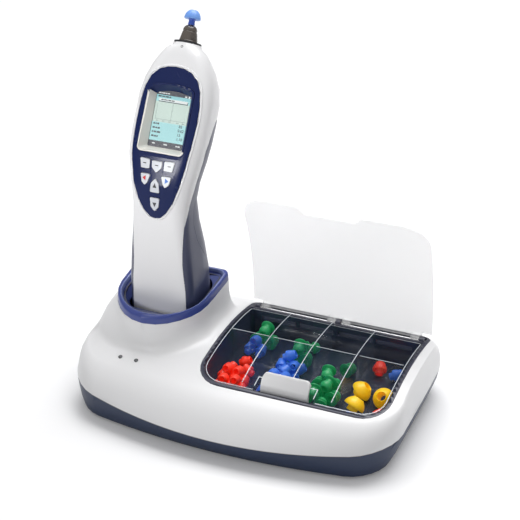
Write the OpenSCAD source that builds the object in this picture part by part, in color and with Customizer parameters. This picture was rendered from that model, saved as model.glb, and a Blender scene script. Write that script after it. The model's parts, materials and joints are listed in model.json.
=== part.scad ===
// Hand-held tympanometer in its charging cradle, with a covered tray of ear tips.
// The origin is the middle of the base on the table, X to the right, Y to the back, Z up.

/* [Base housing] */
// Width of the base at its widest, across the parting line
base_w = 304; // [298:1:310]
// Depth of the base from the bowed front to the back
base_d = 197; // [193:1:204]
// How far the front bows outward at the parting line
front_bow = 27; // [20:1:30]
// How far each side bows outward
side_bow = 1; // [0.5:0.5:3]
// Corner radius of the base in plan
corner_r = 32; // [26:1:36]
// Height of the parting line along the sides
seam_side_h = 29; // [26:1:31]
// Height of the parting line at the middle of the front
seam_front_h = 20; // [18:1:24]
// Height of the crown of the arched deck
deck_h = 58; // [56:1:61]
// Radius of the arch of the deck, front to back
deck_arch_r = 250; // [230:5:320]
// Wall of the moulded base shells
base_wall = 2.6; // [2:0.1:3.5]
// How far the feet lift the base off the table
foot_lift = 1.4; // [1:0.1:2.5]
// Diameter of a rubber foot
foot_d = 14; // [10:0.5:18]

/* [Cradle] */
// Distance of the cradle from the left side of the base
cradle_in = 60; // [59:0.5:62]
// Width of the collar at the middle of its depth
collar_w = 81; // [80:0.5:85]
// Depth of the collar, front to back
collar_d = 88; // [86:0.5:92]
// Height of the front edge of the collar
collar_front_h = 78.2; // [74:0.2:82]
// Slope of the collar, rising to the back
collar_slope = 5.4; // [4:0.2:8]
// Height of the coloured collar band
collar_h = 7.5; // [6:0.5:10]
// Height of the cup floor that the handset stands on
cup_floor_h = 36; // [32:1:40]
// Clearance between the handset and the cup
cup_gap = 0.8; // [0.5:0.1:1.2]
// Wall of the cup
cup_wall = 2; // [1.6:0.1:2]

/* [Ear tip tray] */
// Distance of the tray opening from the right side of the base
tray_in = 13; // [12:0.5:15]
// Width of the tray opening
tray_w = 174; // [168:1:175]
// Distance of the tray opening from the back of the front face
tray_front_in = 42.5; // [40:0.5:45]
// Depth of the tray opening
tray_d = 144; // [142:1:146]
// Corner radius of the tray opening
tray_r = 24; // [20:1:28]
// Width of the dark trim round the opening
trim_w = 4; // [3:0.25:5]
// Wall of the well and of the clear insert
tray_wall = 1.8; // [1.4:0.1:2.4]
// Height of the floor of the clear insert
tray_floor_h = 27; // [24:1:30]
// Number of dividers across the tray
dividers = 3; // [2:1:4]
// Distance between dividers
divider_pitch = 40.5; // [36:0.5:42]
// Place of the divider that runs along the tray
cross_y = 19; // [10:1:26]
// How far the dividers rise above the deck
divider_rise = 3; // [2:0.25:3]

/* [Lid] */
// Thickness of the lid sheet
lid_t = 2; // [1.5:0.1:2.5]
// Angle that the lid stands open at rest
lid_open = 76; // [60:1:80]
// Diameter of the hinge pin
hinge_pin_d = 2.5; // [2:0.1:3]
// Width of the finger latch
latch_w = 43; // [36:0.5:46]
// Height of the finger latch above its pivot
latch_h = 18; // [15:0.5:20]
// Diameter of the latch pin
latch_pin_d = 2.5; // [2:0.1:3]

/* [Handset] */
// Width of the grip
grip_w = 54; // [51:0.5:56]
// Width of the head
head_w = 70; // [66:0.5:74]
// Height of the straight grip, from its foot to the bend
grip_h = 142; // [136:1:148]
// Radius of the bend of the neck, on the centre line
neck_r = 110; // [100:1:125]
// Angle that the head leans back
head_lean = 29; // [26:0.5:31]
// Length of the head from the bend to the nose
head_len = 81; // [78:0.5:86]
// Diameter of the nose
nose_d = 24; // [22:0.5:26]
// Wall of the handset shells
shell_wall = 2.4; // [2:0.1:3]
// Width of the display window
window_w = 41; // [38:0.5:43]
// Height of the display window
window_h = 58; // [54:0.5:60]
// Depth of the display below the panel
display_depth = 8; // [6:0.5:9]
// How far the keys stand proud of the panel
key_proud = 1.3; // [1:0.1:1.8]
// Clearance round a key
key_gap = 0.35; // [0.25:0.05:0.5]

/* [Probe and ear tips] */
// Diameter of the probe cap at its foot
cap_d = 17; // [15:0.5:19]
// Height of the probe cap
cap_h = 15; // [13:0.5:17]
// Diameter of the probe spigot
spigot_d = 3.6; // [3:0.1:4]
// Diameter of the ear tip on the probe
worn_tip_d = 14.5; // [12:0.5:16]
// Height of the ear tip on the probe
worn_tip_h = 13; // [11:0.5:14]
// Diameter of the large umbrella tips
large_tip_d = 19; // [17:0.5:20]
// Diameter of the medium tips
medium_tip_d = 13; // [11:0.5:14]
// Diameter of the small tips
small_tip_d = 10; // [8:0.5:11]

/* [Hidden] */
$fn = 64;

// Helpers for numbers, points and lofts
function lerp(a, b, t) = a + (b - a) * t;
function clamp(v) = min(1, max(0, v));
function flat(list) = [for (row = list) for (item = row) item];

// Faces of a skin that joins rings of n points, k rings long
function skin_faces(n, k) = [
    for (r = [0:k - 2]) for (i = [0:n - 1]) each [
        [r * n + i, (r + 1) * n + i, (r + 1) * n + (i + 1) % n],
        [r * n + i, (r + 1) * n + (i + 1) % n, r * n + (i + 1) % n]
    ]
];

// Closed solid through a list of rings, each an outline seen from its first cap
module loft(rings) {
    n = len(rings[0]);
    k = len(rings);
    polyhedron(
        points = flat(rings),
        faces = concat(
            [[for (i = [0:n - 1]) i]],
            skin_faces(n, k),
            [[for (i = [n - 1:-1:0]) (k - 1) * n + i]]
        ),
        convexity = 8
    );
}

// Closed tube through a list of rings whose last ring meets the first
module ring_loft(rings) {
    n = len(rings[0]);
    closed = concat(rings, [rings[0]]);
    k = len(rings);
    polyhedron(
        points = flat(rings),
        faces = [
            for (r = [0:k - 1]) for (i = [0:n - 1])
                let (a = r * n, b = ((r + 1) % k) * n, j = (i + 1) % n)
                each [[a + i, b + i, b + j], [a + i, b + j, a + j]]
        ],
        convexity = 8
    );
}

// One solid mesh of its children
module one_mesh() {
    resize([0, 0, 0]) children();
}

// Rounded outline, counter-clockwise, with its front and sides bowed outward
arc_steps = 6;
front_steps = 14;
side_steps = 4;
function corner(cx, cy, r, a0) = [
    for (i = [0:arc_steps]) [cx + r * cos(a0 + 90 * i / arc_steps), cy + r * sin(a0 + 90 * i / arc_steps)]
];
function between(a, b, steps) = [for (i = [1:steps - 1]) lerp(a, b, i / steps)];
function rounded(hw, yf, yr, rf, rr, steps = front_steps) =
    let (
        fr = corner(hw - rf, yf + rf, rf, -90),
        br = corner(hw - rr, yr - rr, rr, 0),
        bl = corner(rr - hw, yr - rr, rr, 90),
        fl = corner(rf - hw, yf + rf, rf, 180),
        last = arc_steps
    )
    concat(
        fr, between(fr[last], br[0], side_steps),
        br, between(br[last], bl[0], side_steps),
        bl, between(bl[last], fl[0], side_steps),
        fl, between(fl[last], fr[0], steps)
    );
function bow(p, hw, yf, yr, bf, bs) =
    let (ym = (yf + yr) / 2, v = (p[1] - ym) / ((yr - yf) / 2), u = p[0] / hw)
    [p[0] + bs * u * (1 - v * v), p[1] - (v < 0 ? -v * bf * (1 - u * u) : 0)];
function outline(hw, yf, yr, rf, rr, bf, bs, steps = front_steps) = [
    for (p = rounded(hw, yf, yr, rf, rr, steps)) bow(p, hw, yf, yr, bf, bs)
];

// Base housing, and what takes its place from the housing's sides and front
base_hw = base_w / 2 - side_bow;
base_back = base_d / 2;
cradle_x = cradle_in - base_w / 2;
tray_right = base_w / 2 - tray_in;
tray_left = tray_right - tray_w;
tray_front = tray_front_in - base_d / 2;
base_front = front_bow - base_d / 2;
crown_y = 18;
function deck_z(y) = deck_h - deck_arch_r + sqrt(deck_arch_r * deck_arch_r - (y - crown_y) * (y - crown_y));
function seam_z(x) = seam_front_h + (seam_side_h - seam_front_h) * pow(x / (base_w / 2), 2);

// Each ring: how far it is drawn in at the side, front and back, its front bow and side bow,
// then its share of the rise from the foot to the parting line, or from there to the deck
low_rings = [
    [11, -1, 7, front_bow - 12.5, side_bow, 0],
    [8.4, -3, 5, front_bow - 11.5, side_bow, 0.09],
    [4.4, -2, 2.4, front_bow - 7, side_bow, 0.4],
    [1.4, -0.6, 0.8, front_bow - 2.5, side_bow, 0.74],
    [0, 0, 0, front_bow, side_bow, 1]
];
high_rings = [
    [0, 0.6, 0.4, front_bow - 3, side_bow, 0.16],
    [0.4, 3.5, 1, front_bow - 9, side_bow, 0.5],
    [1.2, 7, 2.4, front_bow - 15, side_bow, 0.75],
    [2.6, 11, 4.6, front_bow - 20, side_bow, 0.91],
    [5, 14.5, 8, front_bow - 22.5, side_bow, 1]
];
function base_ring(v, t) = outline(
    base_hw - v[0] - t, base_front + v[1] + t, base_back - v[2] - t,
    max(3, corner_r - v[0] / 2 - t), max(3, corner_r - v[0] / 2 - t), v[3], v[4]
);
function low_ring(v, t) = [
    for (p = base_ring(v, t)) [p[0], p[1], lerp(foot_lift + t, seam_z(p[0]), v[5])]
];
function high_ring(v, t) =
    let (ring = base_ring(v, t), deck = base_ring(high_rings[4], t))
    [for (i = [0:len(ring) - 1])
        [ring[i][0], ring[i][1], lerp(seam_z(ring[i][0]), deck_z(deck[i][1]) - t, v[5])]];

// Cradle tower that grows out of the left end of the deck
collar_front = 70 - base_d / 2;
collar_back = collar_front + collar_d;
collar_k = tan(collar_slope);
function collar_z(y) = collar_front_h + collar_k * (y - collar_front);
function collar_outline(inset, front_inset) = [
    for (p = outline(
        collar_w / 2 - inset, collar_front + front_inset, collar_back - inset,
        collar_w / 2 - inset - 1.5, max(4, 7 - inset), 4.7, 1))
        [cradle_x + p[0] * (1 + 0.11 * (p[1] - collar_front) / collar_d), p[1]]
];
// Opening in the collar, drawn round the handset
function mouth_outline(grow) = [
    for (p = outline(
        grip_hw + 9.5 + grow, spine_y - 37.9 - grow, spine_y + 41 + grow,
        grip_hw + 6.5 + grow, 6.5 + grow, 2, 1))
        [handset_x - 2 + p[0] * (1 + 0.07 * (p[1] - spine_y + 46) / 92), p[1]]
];
tower_hw = 53;
tower_x = 6.5 - base_hw + tower_hw;
tower_steps = 6;
tower_front = collar_front - 10.5;
function tower_foot(t) = [
    for (p = outline(tower_hw - t, tower_front + t, base_back - 13 - t, 27 - t, 18 - t, 3, side_bow))
        [tower_x + p[0], p[1]]
];
function flank(x) = clamp((x - (tower_x - tower_hw)) / 26);
function tower_ring(k, t) =
    let (
        a = 90 * k / tower_steps,
        foot = tower_foot(t),
        top = collar_outline(t, t),
        sweep_in = pow(sin(a), 0.77),
        sweep_up = 1 - pow(cos(a), 0.77),
        bulge_in = pow(sin(a), 1.8),
        bulge_up = sin(a)
    )
    [for (i = [0:len(foot) - 1])
        let (
            f = foot[i], c = top[i], w = flank(f[0]),
            g = lerp(bulge_in, sweep_in, w), h = lerp(bulge_up, sweep_up, w),
            y = lerp(f[1], c[1], g)
        )
        [lerp(f[0], c[0], g), y, lerp(deck_z(f[1]), collar_z(c[1]), h) - t]
    ];
function housing_rings(t) = concat(
    [for (v = low_rings) low_ring(v, t)],
    [for (v = high_rings) high_ring(v, t)],
    [for (k = [0:tower_steps]) tower_ring(k, t)]
);
function sparse(ring) = [for (i = [0:2:len(ring) - 1]) ring[i]];
module housing() {
    loft(housing_rings(0));
}
module housing_hollow() {
    loft([for (ring = housing_rings(base_wall)) sparse(ring)]);
}

// Everything below the parting line
module below_seam(extra = 0) {
    reach = base_w / 2 + 10;
    steps = 24;
    profile = concat(
        [for (i = [0:steps]) let (x = lerp(-reach, reach, i / steps)) [x, seam_z(x) + extra]],
        [[reach, -10], [-reach, -10]]
    );
    translate([0, base_d, 0])
        rotate([90, 0, 0])
            linear_extrude(2 * base_d) polygon(profile);
}

// Upright prism of a rounded rectangle, with its own radii at the front and back
module plan(x0, x1, y0, y1, rf, rr) {
    translate([(x0 + x1) / 2, 0]) polygon(rounded((x1 - x0) / 2, y0, y1, rf, rr));
}
module slab(x0, x1, y0, y1, rf, rr, z0, z1) {
    translate([0, 0, z0]) linear_extrude(z1 - z0) plan(x0, x1, y0, y1, rf, rr);
}

// Solid below the arch of the deck, raised by a given amount
module below_deck(rise) {
    translate([-base_w, crown_y, deck_h - deck_arch_r])
        rotate([0, 90, 0])
            cylinder(h = 2 * base_w, r = deck_arch_r + rise, $fn = 360);
}

// Tray opening and the parts that take their place from it
tray_back = tray_front + tray_d;
trough_d = 16;
well_back = tray_back - trough_d;
rear_wall = 3.5;
hinge_y = tray_back - 10;
hinge_z = deck_z(hinge_y) - 2.2;
fit = 0.4;
insert_x = tray_left + trim_w + fit;
insert_y = tray_front + trim_w + fit;
insert_w = tray_w - 2 * (trim_w + fit);
insert_d = well_back - rear_wall - fit - insert_y;
insert_bottom = tray_floor_h - tray_wall;
well_bottom = insert_bottom - 0.3 - tray_wall;
latch_x = (tray_left + tray_right) / 2 - 3.5;
latch_y = tray_front + 8;
latch_z = 41;

// Places of the handset along its centre line, measured from its foot
handset_x = cradle_x + 3;
spine_y = collar_front + 42.5;
foot_z = cup_floor_h + 0.3;
neck_len = neck_r * head_lean * PI / 180;
handset_len = grip_h + neck_len + head_len;
function side(s, d) =
    s <= grip_h ? [spine_y + d, foot_z + s]
    : s <= grip_h + neck_len ?
        let (a = (s - grip_h) / neck_r * 180 / PI, r = neck_r - d)
        [spine_y + neck_r - r * cos(a), foot_z + grip_h + r * sin(a)]
    : let (e = s - grip_h - neck_len, c = cos(head_lean), n = sin(head_lean), r = neck_r - d)
        [spine_y + neck_r - r * c + e * n, foot_z + grip_h + r * n + e * c];

// Each section: place on the grip, neck or head, front depth, back depth,
// half width, front corner radius, back corner radius and front crown
grip_hw = grip_w / 2;
head_hw = head_w / 2;
nose_r = nose_d / 2;
neck_end = grip_h + neck_len;
sections = [
    [0, 14, 20, grip_hw - 7, 9, 12, 0.5],
    [1.5, 17.5, 26, grip_hw - 2, 10, 14, 1],
    [6, 19.5, 32, grip_hw + 2, 10, 16, 1.5],
    [16, 20.3, 36, grip_hw + 3.6, 9, 18, 1.5],
    [45, 20.3, 37.5, grip_hw + 4, 9, 18, 1.5],
    [70, 20.2, 35.5, grip_hw + 3.6, 9, 18, 1.5],
    [95, 20, 30.5, grip_hw + 1.8, 9, 16, 1.5],
    [120, 20, 24.5, grip_hw - 0.4, 10, 15, 1.5],
    [grip_h, 20.2, 21.5, grip_hw - 1, 11, 15, 2],
    [grip_h + neck_len * 0.33, 20, 22.5, grip_hw + 2, 12, 16, 2.2],
    [grip_h + neck_len * 0.7, 18.5, 25.5, head_hw - 1.6, 12, 19, 2.5],
    [neck_end, 16.6, 28.5, head_hw - 0.2, 12, 21, 2.5],
    [neck_end + head_len * 0.2, 15.6, 30, head_hw, 12, 22, 2.5],
    [neck_end + head_len * 0.42, 15.4, 30, head_hw - 0.2, 12, 22, 2.5],
    [neck_end + head_len * 0.6, 15, 28.5, head_hw - 2.8, 12, 22, 2.5],
    [neck_end + head_len * 0.75, 14.8, 25, head_hw - 7.8, 12, 20, 2],
    [neck_end + head_len * 0.86, 14.4, 20.5, head_hw - 13.2, 12, 17, 1.2],
    [neck_end + head_len * 0.93, nose_r + 1.6, 16, nose_r + 5.5, nose_r, 14, 0.5],
    [neck_end + head_len * 0.97, nose_r + 0.3, nose_r + 1, nose_r + 1, nose_r - 0.2, nose_r - 0.2, 0],
    [handset_len, nose_r, nose_r, nose_r, nose_r - 0.1, nose_r - 0.1, 0]
];
last_section = len(sections) - 1;
function handset_ring(i, t) =
    let (
        v = sections[i],
        s = v[0] + t * max(0, 1 - v[0] / 6) - t * max(0, 1 - (handset_len - v[0]) / 9),
        hw = v[3] - t, yf = v[6] - v[1] + t, yr = v[2] - t,
        most = min(hw, (yr - yf) / 2) - 0.05
    )
    [for (p = outline(hw, yf, yr, min(most, max(1, v[4] - t)), min(most, max(1, v[5] - t)), v[6], 0, 8))
        let (q = side(s, p[1])) [handset_x + p[0], q[0], q[1]]];
module handset_form(t = 0) {
    loft([for (i = [0:last_section]) handset_ring(i, t)]);
}
module handset_hollow() {
    loft([for (i = [0:last_section]) sparse(handset_ring(i, shell_wall))]);
}

// Region of the side view, swept across the handset
module swept(points, half = 60) {
    translate([handset_x - half, 0, 0])
        rotate([90, 0, 90])
            linear_extrude(2 * half) polygon(points);
}
// Parting line of the shells: place along the handset, half width, depth, and depth of the cut at the middle
seam = [
    [-4, grip_hw - 0.8, -18, -4], [grip_h - 79, grip_hw - 1.3, -18.2, -4], [grip_h - 63, grip_hw - 2.7, -18.4, -4],
    [grip_h - 52, grip_hw - 3.4, -18.3, -4], [grip_h - 41, grip_hw - 3.4, -17.7, -4],
    [grip_h - 29, grip_hw - 3, -16.2, -4], [grip_h - 17, grip_hw - 2.5, -14.2, -5],
    [grip_h - 9, grip_hw - 1.8, -10.8, -6], [grip_h - 2, grip_hw - 1, -7, -7], [grip_h + 14, head_hw, -0.9, -0.9],
    [grip_h + 26, head_hw, 0.8, 0.8], [grip_h + 38, head_hw, 1, 1], [grip_h + 49, head_hw, 1.8, 1.8],
    [neck_end + 4, head_hw, 4.5, 4.5], [neck_end + 13, head_hw, 7, 7], [neck_end + 20, head_hw, 10, 10],
    [neck_end + 24, head_hw, 16, 16], [neck_end + 27, head_hw, 60, 60], [handset_len + 20, head_hw, 60, 60]
];
function seam_ring(v) =
    let (far = [v[1] * 2.4, v[3] + (v[2] - v[3]) * 2.4])
    [for (p = [[0, v[3]], [-far[0], far[1]], [-far[0], -90], [far[0], -90], far])
        let (q = side(v[0], p[1])) [handset_x + p[0], q[0], q[1]]];
module front_zone() {
    last = len(seam) - 1;
    loft([
        for (i = [0:last - 1]) for (k = [0:4]) seam_ring(lerp(seam[i], seam[i + 1], k / 5)),
        seam_ring(seam[last])
    ]);
}
module cover_region(grow = 0) {
    swept([
        for (v = [
            [grip_h + 8, 44], [grip_h + 8 + grow, 14 - grow], [grip_h + 5, 8 - grow], [grip_h - 7, 2.5 - grow],
            [grip_h - 20, 1 - grow], [grip_h - 38, 5 - grow], [grip_h - 58, 17 - grow],
            [grip_h - 81 - grow, 28 - grow], [grip_h - 86 - grow, 50]
        ]) side(v[0], v[1])
    ]);
}
module front_half() {
    steps = 12;
    swept(concat(
        [for (i = [0:steps]) let (s = handset_len * i / steps) side(s, -2)],
        [[-80, side(handset_len, -2)[1] + 20], [-80, 0]]
    ));
}

// Frames on the handset: the head's axis and the keypad's plane
module on_head(along = 0) {
    at = side(neck_end, 0);
    translate([handset_x, at[0], at[1]]) rotate([-head_lean, 0, 0]) translate([0, 0, along]) children();
}
key_lean = 10;
pad_z = foot_z + grip_h + 21.5;
pad_y = spine_y - 22.5;
module on_pad() {
    translate([handset_x, pad_y, pad_z]) rotate([-key_lean, 0, 0]) children();
}

// Navy panel on the front, a shield seen from the front
module panel_outline(grow = 0) {
    half = [
        [0, -30.5], [5, -29.5], [10.5, -24], [16.5, -14], [21.5, 0], [25, 16], [27.2, 32], [28, 48],
        [27.6, 62], [25.5, 74], [21.5, 82], [15, 87.5], [7.5, 90], [0, 90.6]
    ];
    offset(delta = grow)
        polygon(concat(half, [for (i = [len(half) - 2:-1:1]) [-half[i][0], half[i][1]]]));
}
module panel_prism(grow = 0) {
    translate([handset_x, 80, pad_z])
        rotate([90, 0, 0])
            linear_extrude(160) panel_outline(grow);
}

// Display opening with an arched top, in the frame of the head
window_along = 14;
window_arch = 3;
glass_y = display_depth - 16.4;
function window_ring(grow, y) = [
    for (p = outline(window_w / 2 + grow, window_arch - window_h / 2 - grow, window_h / 2 + grow,
        max(1, 3 + grow), max(1, 3 + grow), window_arch, 0)) [p[0], y, -p[1]]
];
module window_prism(grow, y0, y1) {
    on_head(window_along) loft([window_ring(grow, y0), window_ring(grow, y1)]);
}

// Keys: place across and up the pad, outline, and whether it is mirrored
soft_key = [[-4.6, 4], [4.8, 3.6], [4.8, -4.2], [-3, -4.4]];
menu_key = [[-4.8, 4.6], [4.8, 4.6], [4.4, -1], [0, -5.2], [-4.4, -1]];
turn_key = [[-4.6, 4.6], [4.6, 4.6], [2.8, -2.5], [-0.4, -5.2], [-2.6, -2]];
step_key = [[-4.4, -6], [4.4, -6], [3.6, 2], [0, 6.2], [-3.6, 2]];
key_back = 9.6;
key_edge = 0.9;
module key_prism(at, points, grow, flip = [0, 0], back = key_back) {
    on_pad()
        translate([at[0], back, at[1]])
            rotate([90, 0, 0])
                linear_extrude(back + 12)
                    mirror(flip)
                        offset(r = key_edge + grow, $fn = 16) offset(delta = -key_edge) polygon(points);
}
key_table = [
    [[-11.6, 18.6], soft_key, [0, 0]],
    [[0, 17], menu_key, [0, 0]],
    [[11.6, 18.6], soft_key, [1, 0]],
    [[-9.8, 5], turn_key, [1, 0]],
    [[9.8, 5], turn_key, [0, 0]],
    [[0, 0.5], step_key, [0, 0]],
    [[0, -16.5], step_key, [0, 1]]
];
module key_cap(i) {
    k = key_table[i];
    one_mesh() intersection() {
        key_prism(k[0], k[1], 0, k[2]);
        handset_form(-key_proud);
    }
}
module key_holes(grow) {
    for (k = key_table) key_prism(k[0], k[1], grow, k[2], key_back + 10);
}

// Base shells
light_x = [cradle_x - 15, cradle_x + 0.5];
light_y = tower_front - 10;
light_d = 3.4;
inlet_x = cradle_x + 32;
inlet_z = 13;
socket_x = cradle_x + 4;
foot_x = [40 - base_w / 2, base_w / 2 - 40];
foot_y = [42.5 - base_d / 2, base_back - 22.5];
trim_drop = 1.2;
module opening(grow, z0) {
    slab(tray_left - grow, tray_right + grow, tray_front - grow, tray_back + grow, tray_r, 10, z0, 90);
}
module rear_cuts(grow) {
    translate([inlet_x, base_back - 12, inlet_z]) rotate([-90, 0, 0]) cylinder(h = 30, d = 11 + grow);
    translate([socket_x - 6 - grow / 2, base_back - 12, inlet_z - 5.5 - grow / 2])
        cube([12 + grow, 30, 11 + grow]);
}
module base_top_shell() {
    color("whitesmoke") one_mesh() difference() {
        housing();
        housing_hollow();
        below_seam();
        opening(0, 5);
        linear_extrude(140) polygon(mouth_outline(1.5));
        for (x = light_x) translate([x, light_y, 0]) cylinder(h = 80, d = light_d + 0.4, $fn = 24);
    }
}
module base_bottom_shell() {
    color("midnightblue") one_mesh() difference() {
        intersection() {
            housing();
            below_seam();
        }
        difference() {
            housing_hollow();
            for (x = foot_x) for (y = foot_y) translate([x, y, 0]) cylinder(h = 14, d = foot_d + 4, $fn = 32);
        }
        for (x = foot_x) for (y = foot_y) translate([x, y, 0]) {
            cylinder(h = foot_lift + 1.3, d = foot_d + 0.6, $fn = 32);
            cylinder(h = 20, d = 3.4, $fn = 16);
        }
        rear_cuts(0.6);
    }
}
module rubber_feet() {
    color("black") for (x = foot_x) for (y = foot_y) translate([x, y, 0]) difference() {
        cylinder(h = foot_lift + 1, d = foot_d);
        translate([0, 0, -1]) cylinder(h = foot_lift + 3, d = 7);
    }
}
module base_screws() {
    color("silver") for (x = foot_x) for (y = foot_y) translate([x, y, foot_lift]) {
        cylinder(h = 10, d = 2.8);
        translate([0, 0, -0.6]) cylinder(h = 1.8, d = 5.4);
    }
}

// Cradle: collar ring, cup, contacts, board and lights
function collar_ring(inset, front_inset, rise) = [
    for (p = collar_outline(inset, front_inset)) [p[0], p[1], collar_z(p[1]) + rise]
];
function mouth_ring(grow, rise) = [
    for (p = mouth_outline(grow)) [p[0], p[1], collar_z(p[1]) + rise]
];
module cradle_collar() {
    color("royalblue") ring_loft([
        collar_ring(0.2, 0.3, 0.1), collar_ring(0.3, 0.6, collar_h * 0.62),
        collar_ring(0.9, 1.4, collar_h * 0.92), mouth_ring(2, collar_h),
        mouth_ring(0.9, collar_h - 0.3), mouth_ring(0, collar_h - 2.6),
        mouth_ring(-0.2, 0.1)
    ]);
}
cup_hw = grip_w / 2 + 4 + cup_gap;
cup_front = spine_y - 20.3 - cup_gap;
cup_back = spine_y + 37.5 + cup_gap;
function cup_ring(grow, z) = [
    for (p = outline(cup_hw + grow, cup_front - grow, cup_back + grow, 9 + grow, 17 + grow, 1.2, 0))
        [handset_x + p[0], p[1], z]
];
module cradle_cup() {
    color("midnightblue") one_mesh() difference() {
        loft([
            cup_ring(cup_wall, cup_floor_h - cup_wall), cup_ring(cup_wall, 60),
            mouth_ring(-0.5, -5), mouth_ring(-0.5, 3.5)
        ]);
        loft([
            cup_ring(0, cup_floor_h), cup_ring(0, 60),
            mouth_ring(-0.5 - cup_wall, -3), mouth_ring(-0.5 - cup_wall, 5)
        ]);
        for (x = [-8, 8]) translate([handset_x + x, spine_y + 8, 0]) cylinder(h = 50, d = 4.6, $fn = 24);
    }
}
module charge_contacts() {
    color("gold") for (x = [-8, 8]) translate([handset_x + x, spine_y + 8, cup_floor_h - cup_wall - 1.6]) {
        cylinder(h = cup_wall + 1.7, d = 3.8);
    }
}
module charge_board() {
    color("seagreen") translate([handset_x - 20, spine_y - 4, cup_floor_h - cup_wall - 3.2]) cube([40, 26, 1.6]);
}
module status_lights() {
    color("lightgray") for (x = light_x) translate([x, light_y, deck_z(light_y) - 3])
        cylinder(h = 3.3, d = light_d, $fn = 24);
}
module power_inlet() {
    color("black") translate([inlet_x, base_back - 13, inlet_z]) rotate([-90, 0, 0]) difference() {
        cylinder(h = 11.4, d = 11);
        translate([0, 0, 2]) difference() {
            cylinder(h = 12, d = 6.4);
            cylinder(h = 8, d = 2);
        }
    }
}
module data_socket() {
    color("dimgray") difference() {
        translate([socket_x - 6, base_back - 13, inlet_z - 5.5]) cube([12, 11.4, 11]);
        translate([socket_x - 4.2, base_back - 8, inlet_z - 3.9]) cube([8.4, 12, 7.8]);
    }
}

// Navy well with its trim flange, rear bar, hinge trough and pin lugs
lug_w = 5;
mid_x = (tray_left + tray_right) / 2;
lug_x = [tray_left + 5, mid_x - lug_w / 2, tray_right - 5 - lug_w];
trough_z = hinge_z - 9;
module tip_well() {
    x0 = tray_left + 0.3;
    x1 = tray_right - 0.3;
    color("midnightblue") difference() {
        union() {
            difference() {
                intersection() {
                    slab(x0, x1, tray_front + 0.3, tray_back - 0.3, tray_r - 0.3, 9.7, well_bottom, 70);
                    below_deck(0);
                }
                slab(insert_x - fit, insert_x + insert_w + fit, insert_y - fit, insert_y + insert_d + fit,
                     tray_r - trim_w, 4, insert_bottom - 0.3, 80);
                slab(tray_left + trim_w, tray_right - trim_w, well_back, tray_back - 1.5, 1.5, 5, trough_z, 80);
                slab(x0 + 12, x1 - 12, well_back + 2, tray_back - 4, 1.5, 6, well_bottom - 1, trough_z - 2);
            }
            for (x = lug_x) {
                translate([x, hinge_y - 4, trough_z - 1]) cube([lug_w, 8, hinge_z - trough_z + 1]);
                translate([x, hinge_y, hinge_z]) rotate([0, 90, 0]) cylinder(h = lug_w, d = 8);
            }
            for (k = [-1, 1]) translate([latch_x + k * (latch_w / 2 + 1.9) - 1.5, latch_y - 3, insert_bottom - 1])
                cube([3, 6, latch_z - insert_bottom + 4]);
        }
        translate([tray_left + 1, hinge_y, hinge_z]) rotate([0, 90, 0])
            cylinder(h = tray_w - 2, d = hinge_pin_d);
        translate([latch_x - latch_w / 2 - 4, latch_y, latch_z]) rotate([0, 90, 0])
            cylinder(h = latch_w + 8, d = latch_pin_d);
        for (k = [0:3]) translate([lerp(tray_left + 14, tray_right - 48, k / 3), well_back - 6, trough_z + 2])
            cube([34, 8, 5]);
    }
}
module hinge_pin() {
    color("silver") translate([tray_left + 2, hinge_y, hinge_z]) rotate([0, 90, 0])
        cylinder(h = tray_w - 4, d = hinge_pin_d);
}
module latch_pin() {
    color("silver") translate([latch_x - latch_w / 2 - 3.4, latch_y, latch_z]) rotate([0, 90, 0])
        cylinder(h = latch_w + 6.8, d = latch_pin_d);
}
module latch_spring() {
    color("gray") for (i = [0:3]) translate([latch_x - 2.4 + i * 1.6, latch_y, latch_z]) rotate([0, 90, 0])
        difference() {
            cylinder(h = i < 3 ? 1.7 : 1, d = i % 2 == 0 ? 5.2 : 4.6, center = true);
            cylinder(h = 4, d = latch_pin_d, center = true);
        }
}

// Clear lift-out insert with its dividers
pocket_x = latch_w / 2 + 4.4;
pocket_y = latch_y + 7.5;
function divider_x(i) = mid_x - 1.5 + (i - (dividers - 1) / 2) * divider_pitch;
module tip_tray() {
    w = tray_wall;
    x0 = insert_x;
    x1 = insert_x + insert_w;
    y0 = insert_y;
    y1 = insert_y + insert_d;
    r = tray_r - trim_w - fit;
    color("lightcyan") difference() {
        union() {
            intersection() {
                difference() {
                    slab(x0, x1, y0, y1, r, 3.6, insert_bottom, 70);
                    slab(x0 + w, x1 - w, y0 + w, y1 - w, r - w, 1.8, tray_floor_h, 80);
                }
                below_deck(-0.5);
            }
            intersection() {
                union() {
                    for (i = [0:dividers - 1]) translate([divider_x(i) - w / 2, y0 + w - 0.01, insert_bottom + 0.5])
                        cube([w, y1 - y0 - 2 * w + 0.02, 50]);
                    translate([latch_x - pocket_x - w, y0 + 1, insert_bottom + 0.5])
                        cube([2 * pocket_x + 2 * w, pocket_y - y0 - 1 + w, 50]);
                }
                below_deck(divider_rise);
            }
            intersection() {
                translate([x0 + w - 0.01, cross_y - w / 2, insert_bottom + 0.5])
                    cube([x1 - x0 - 2 * w + 0.02, w, 50]);
                below_deck(divider_rise - 2.6);
            }
        }
        translate([latch_x - pocket_x, y0 - 1, insert_bottom - 1]) cube([2 * pocket_x, pocket_y - y0 + 1, 60]);
    }
}

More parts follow.
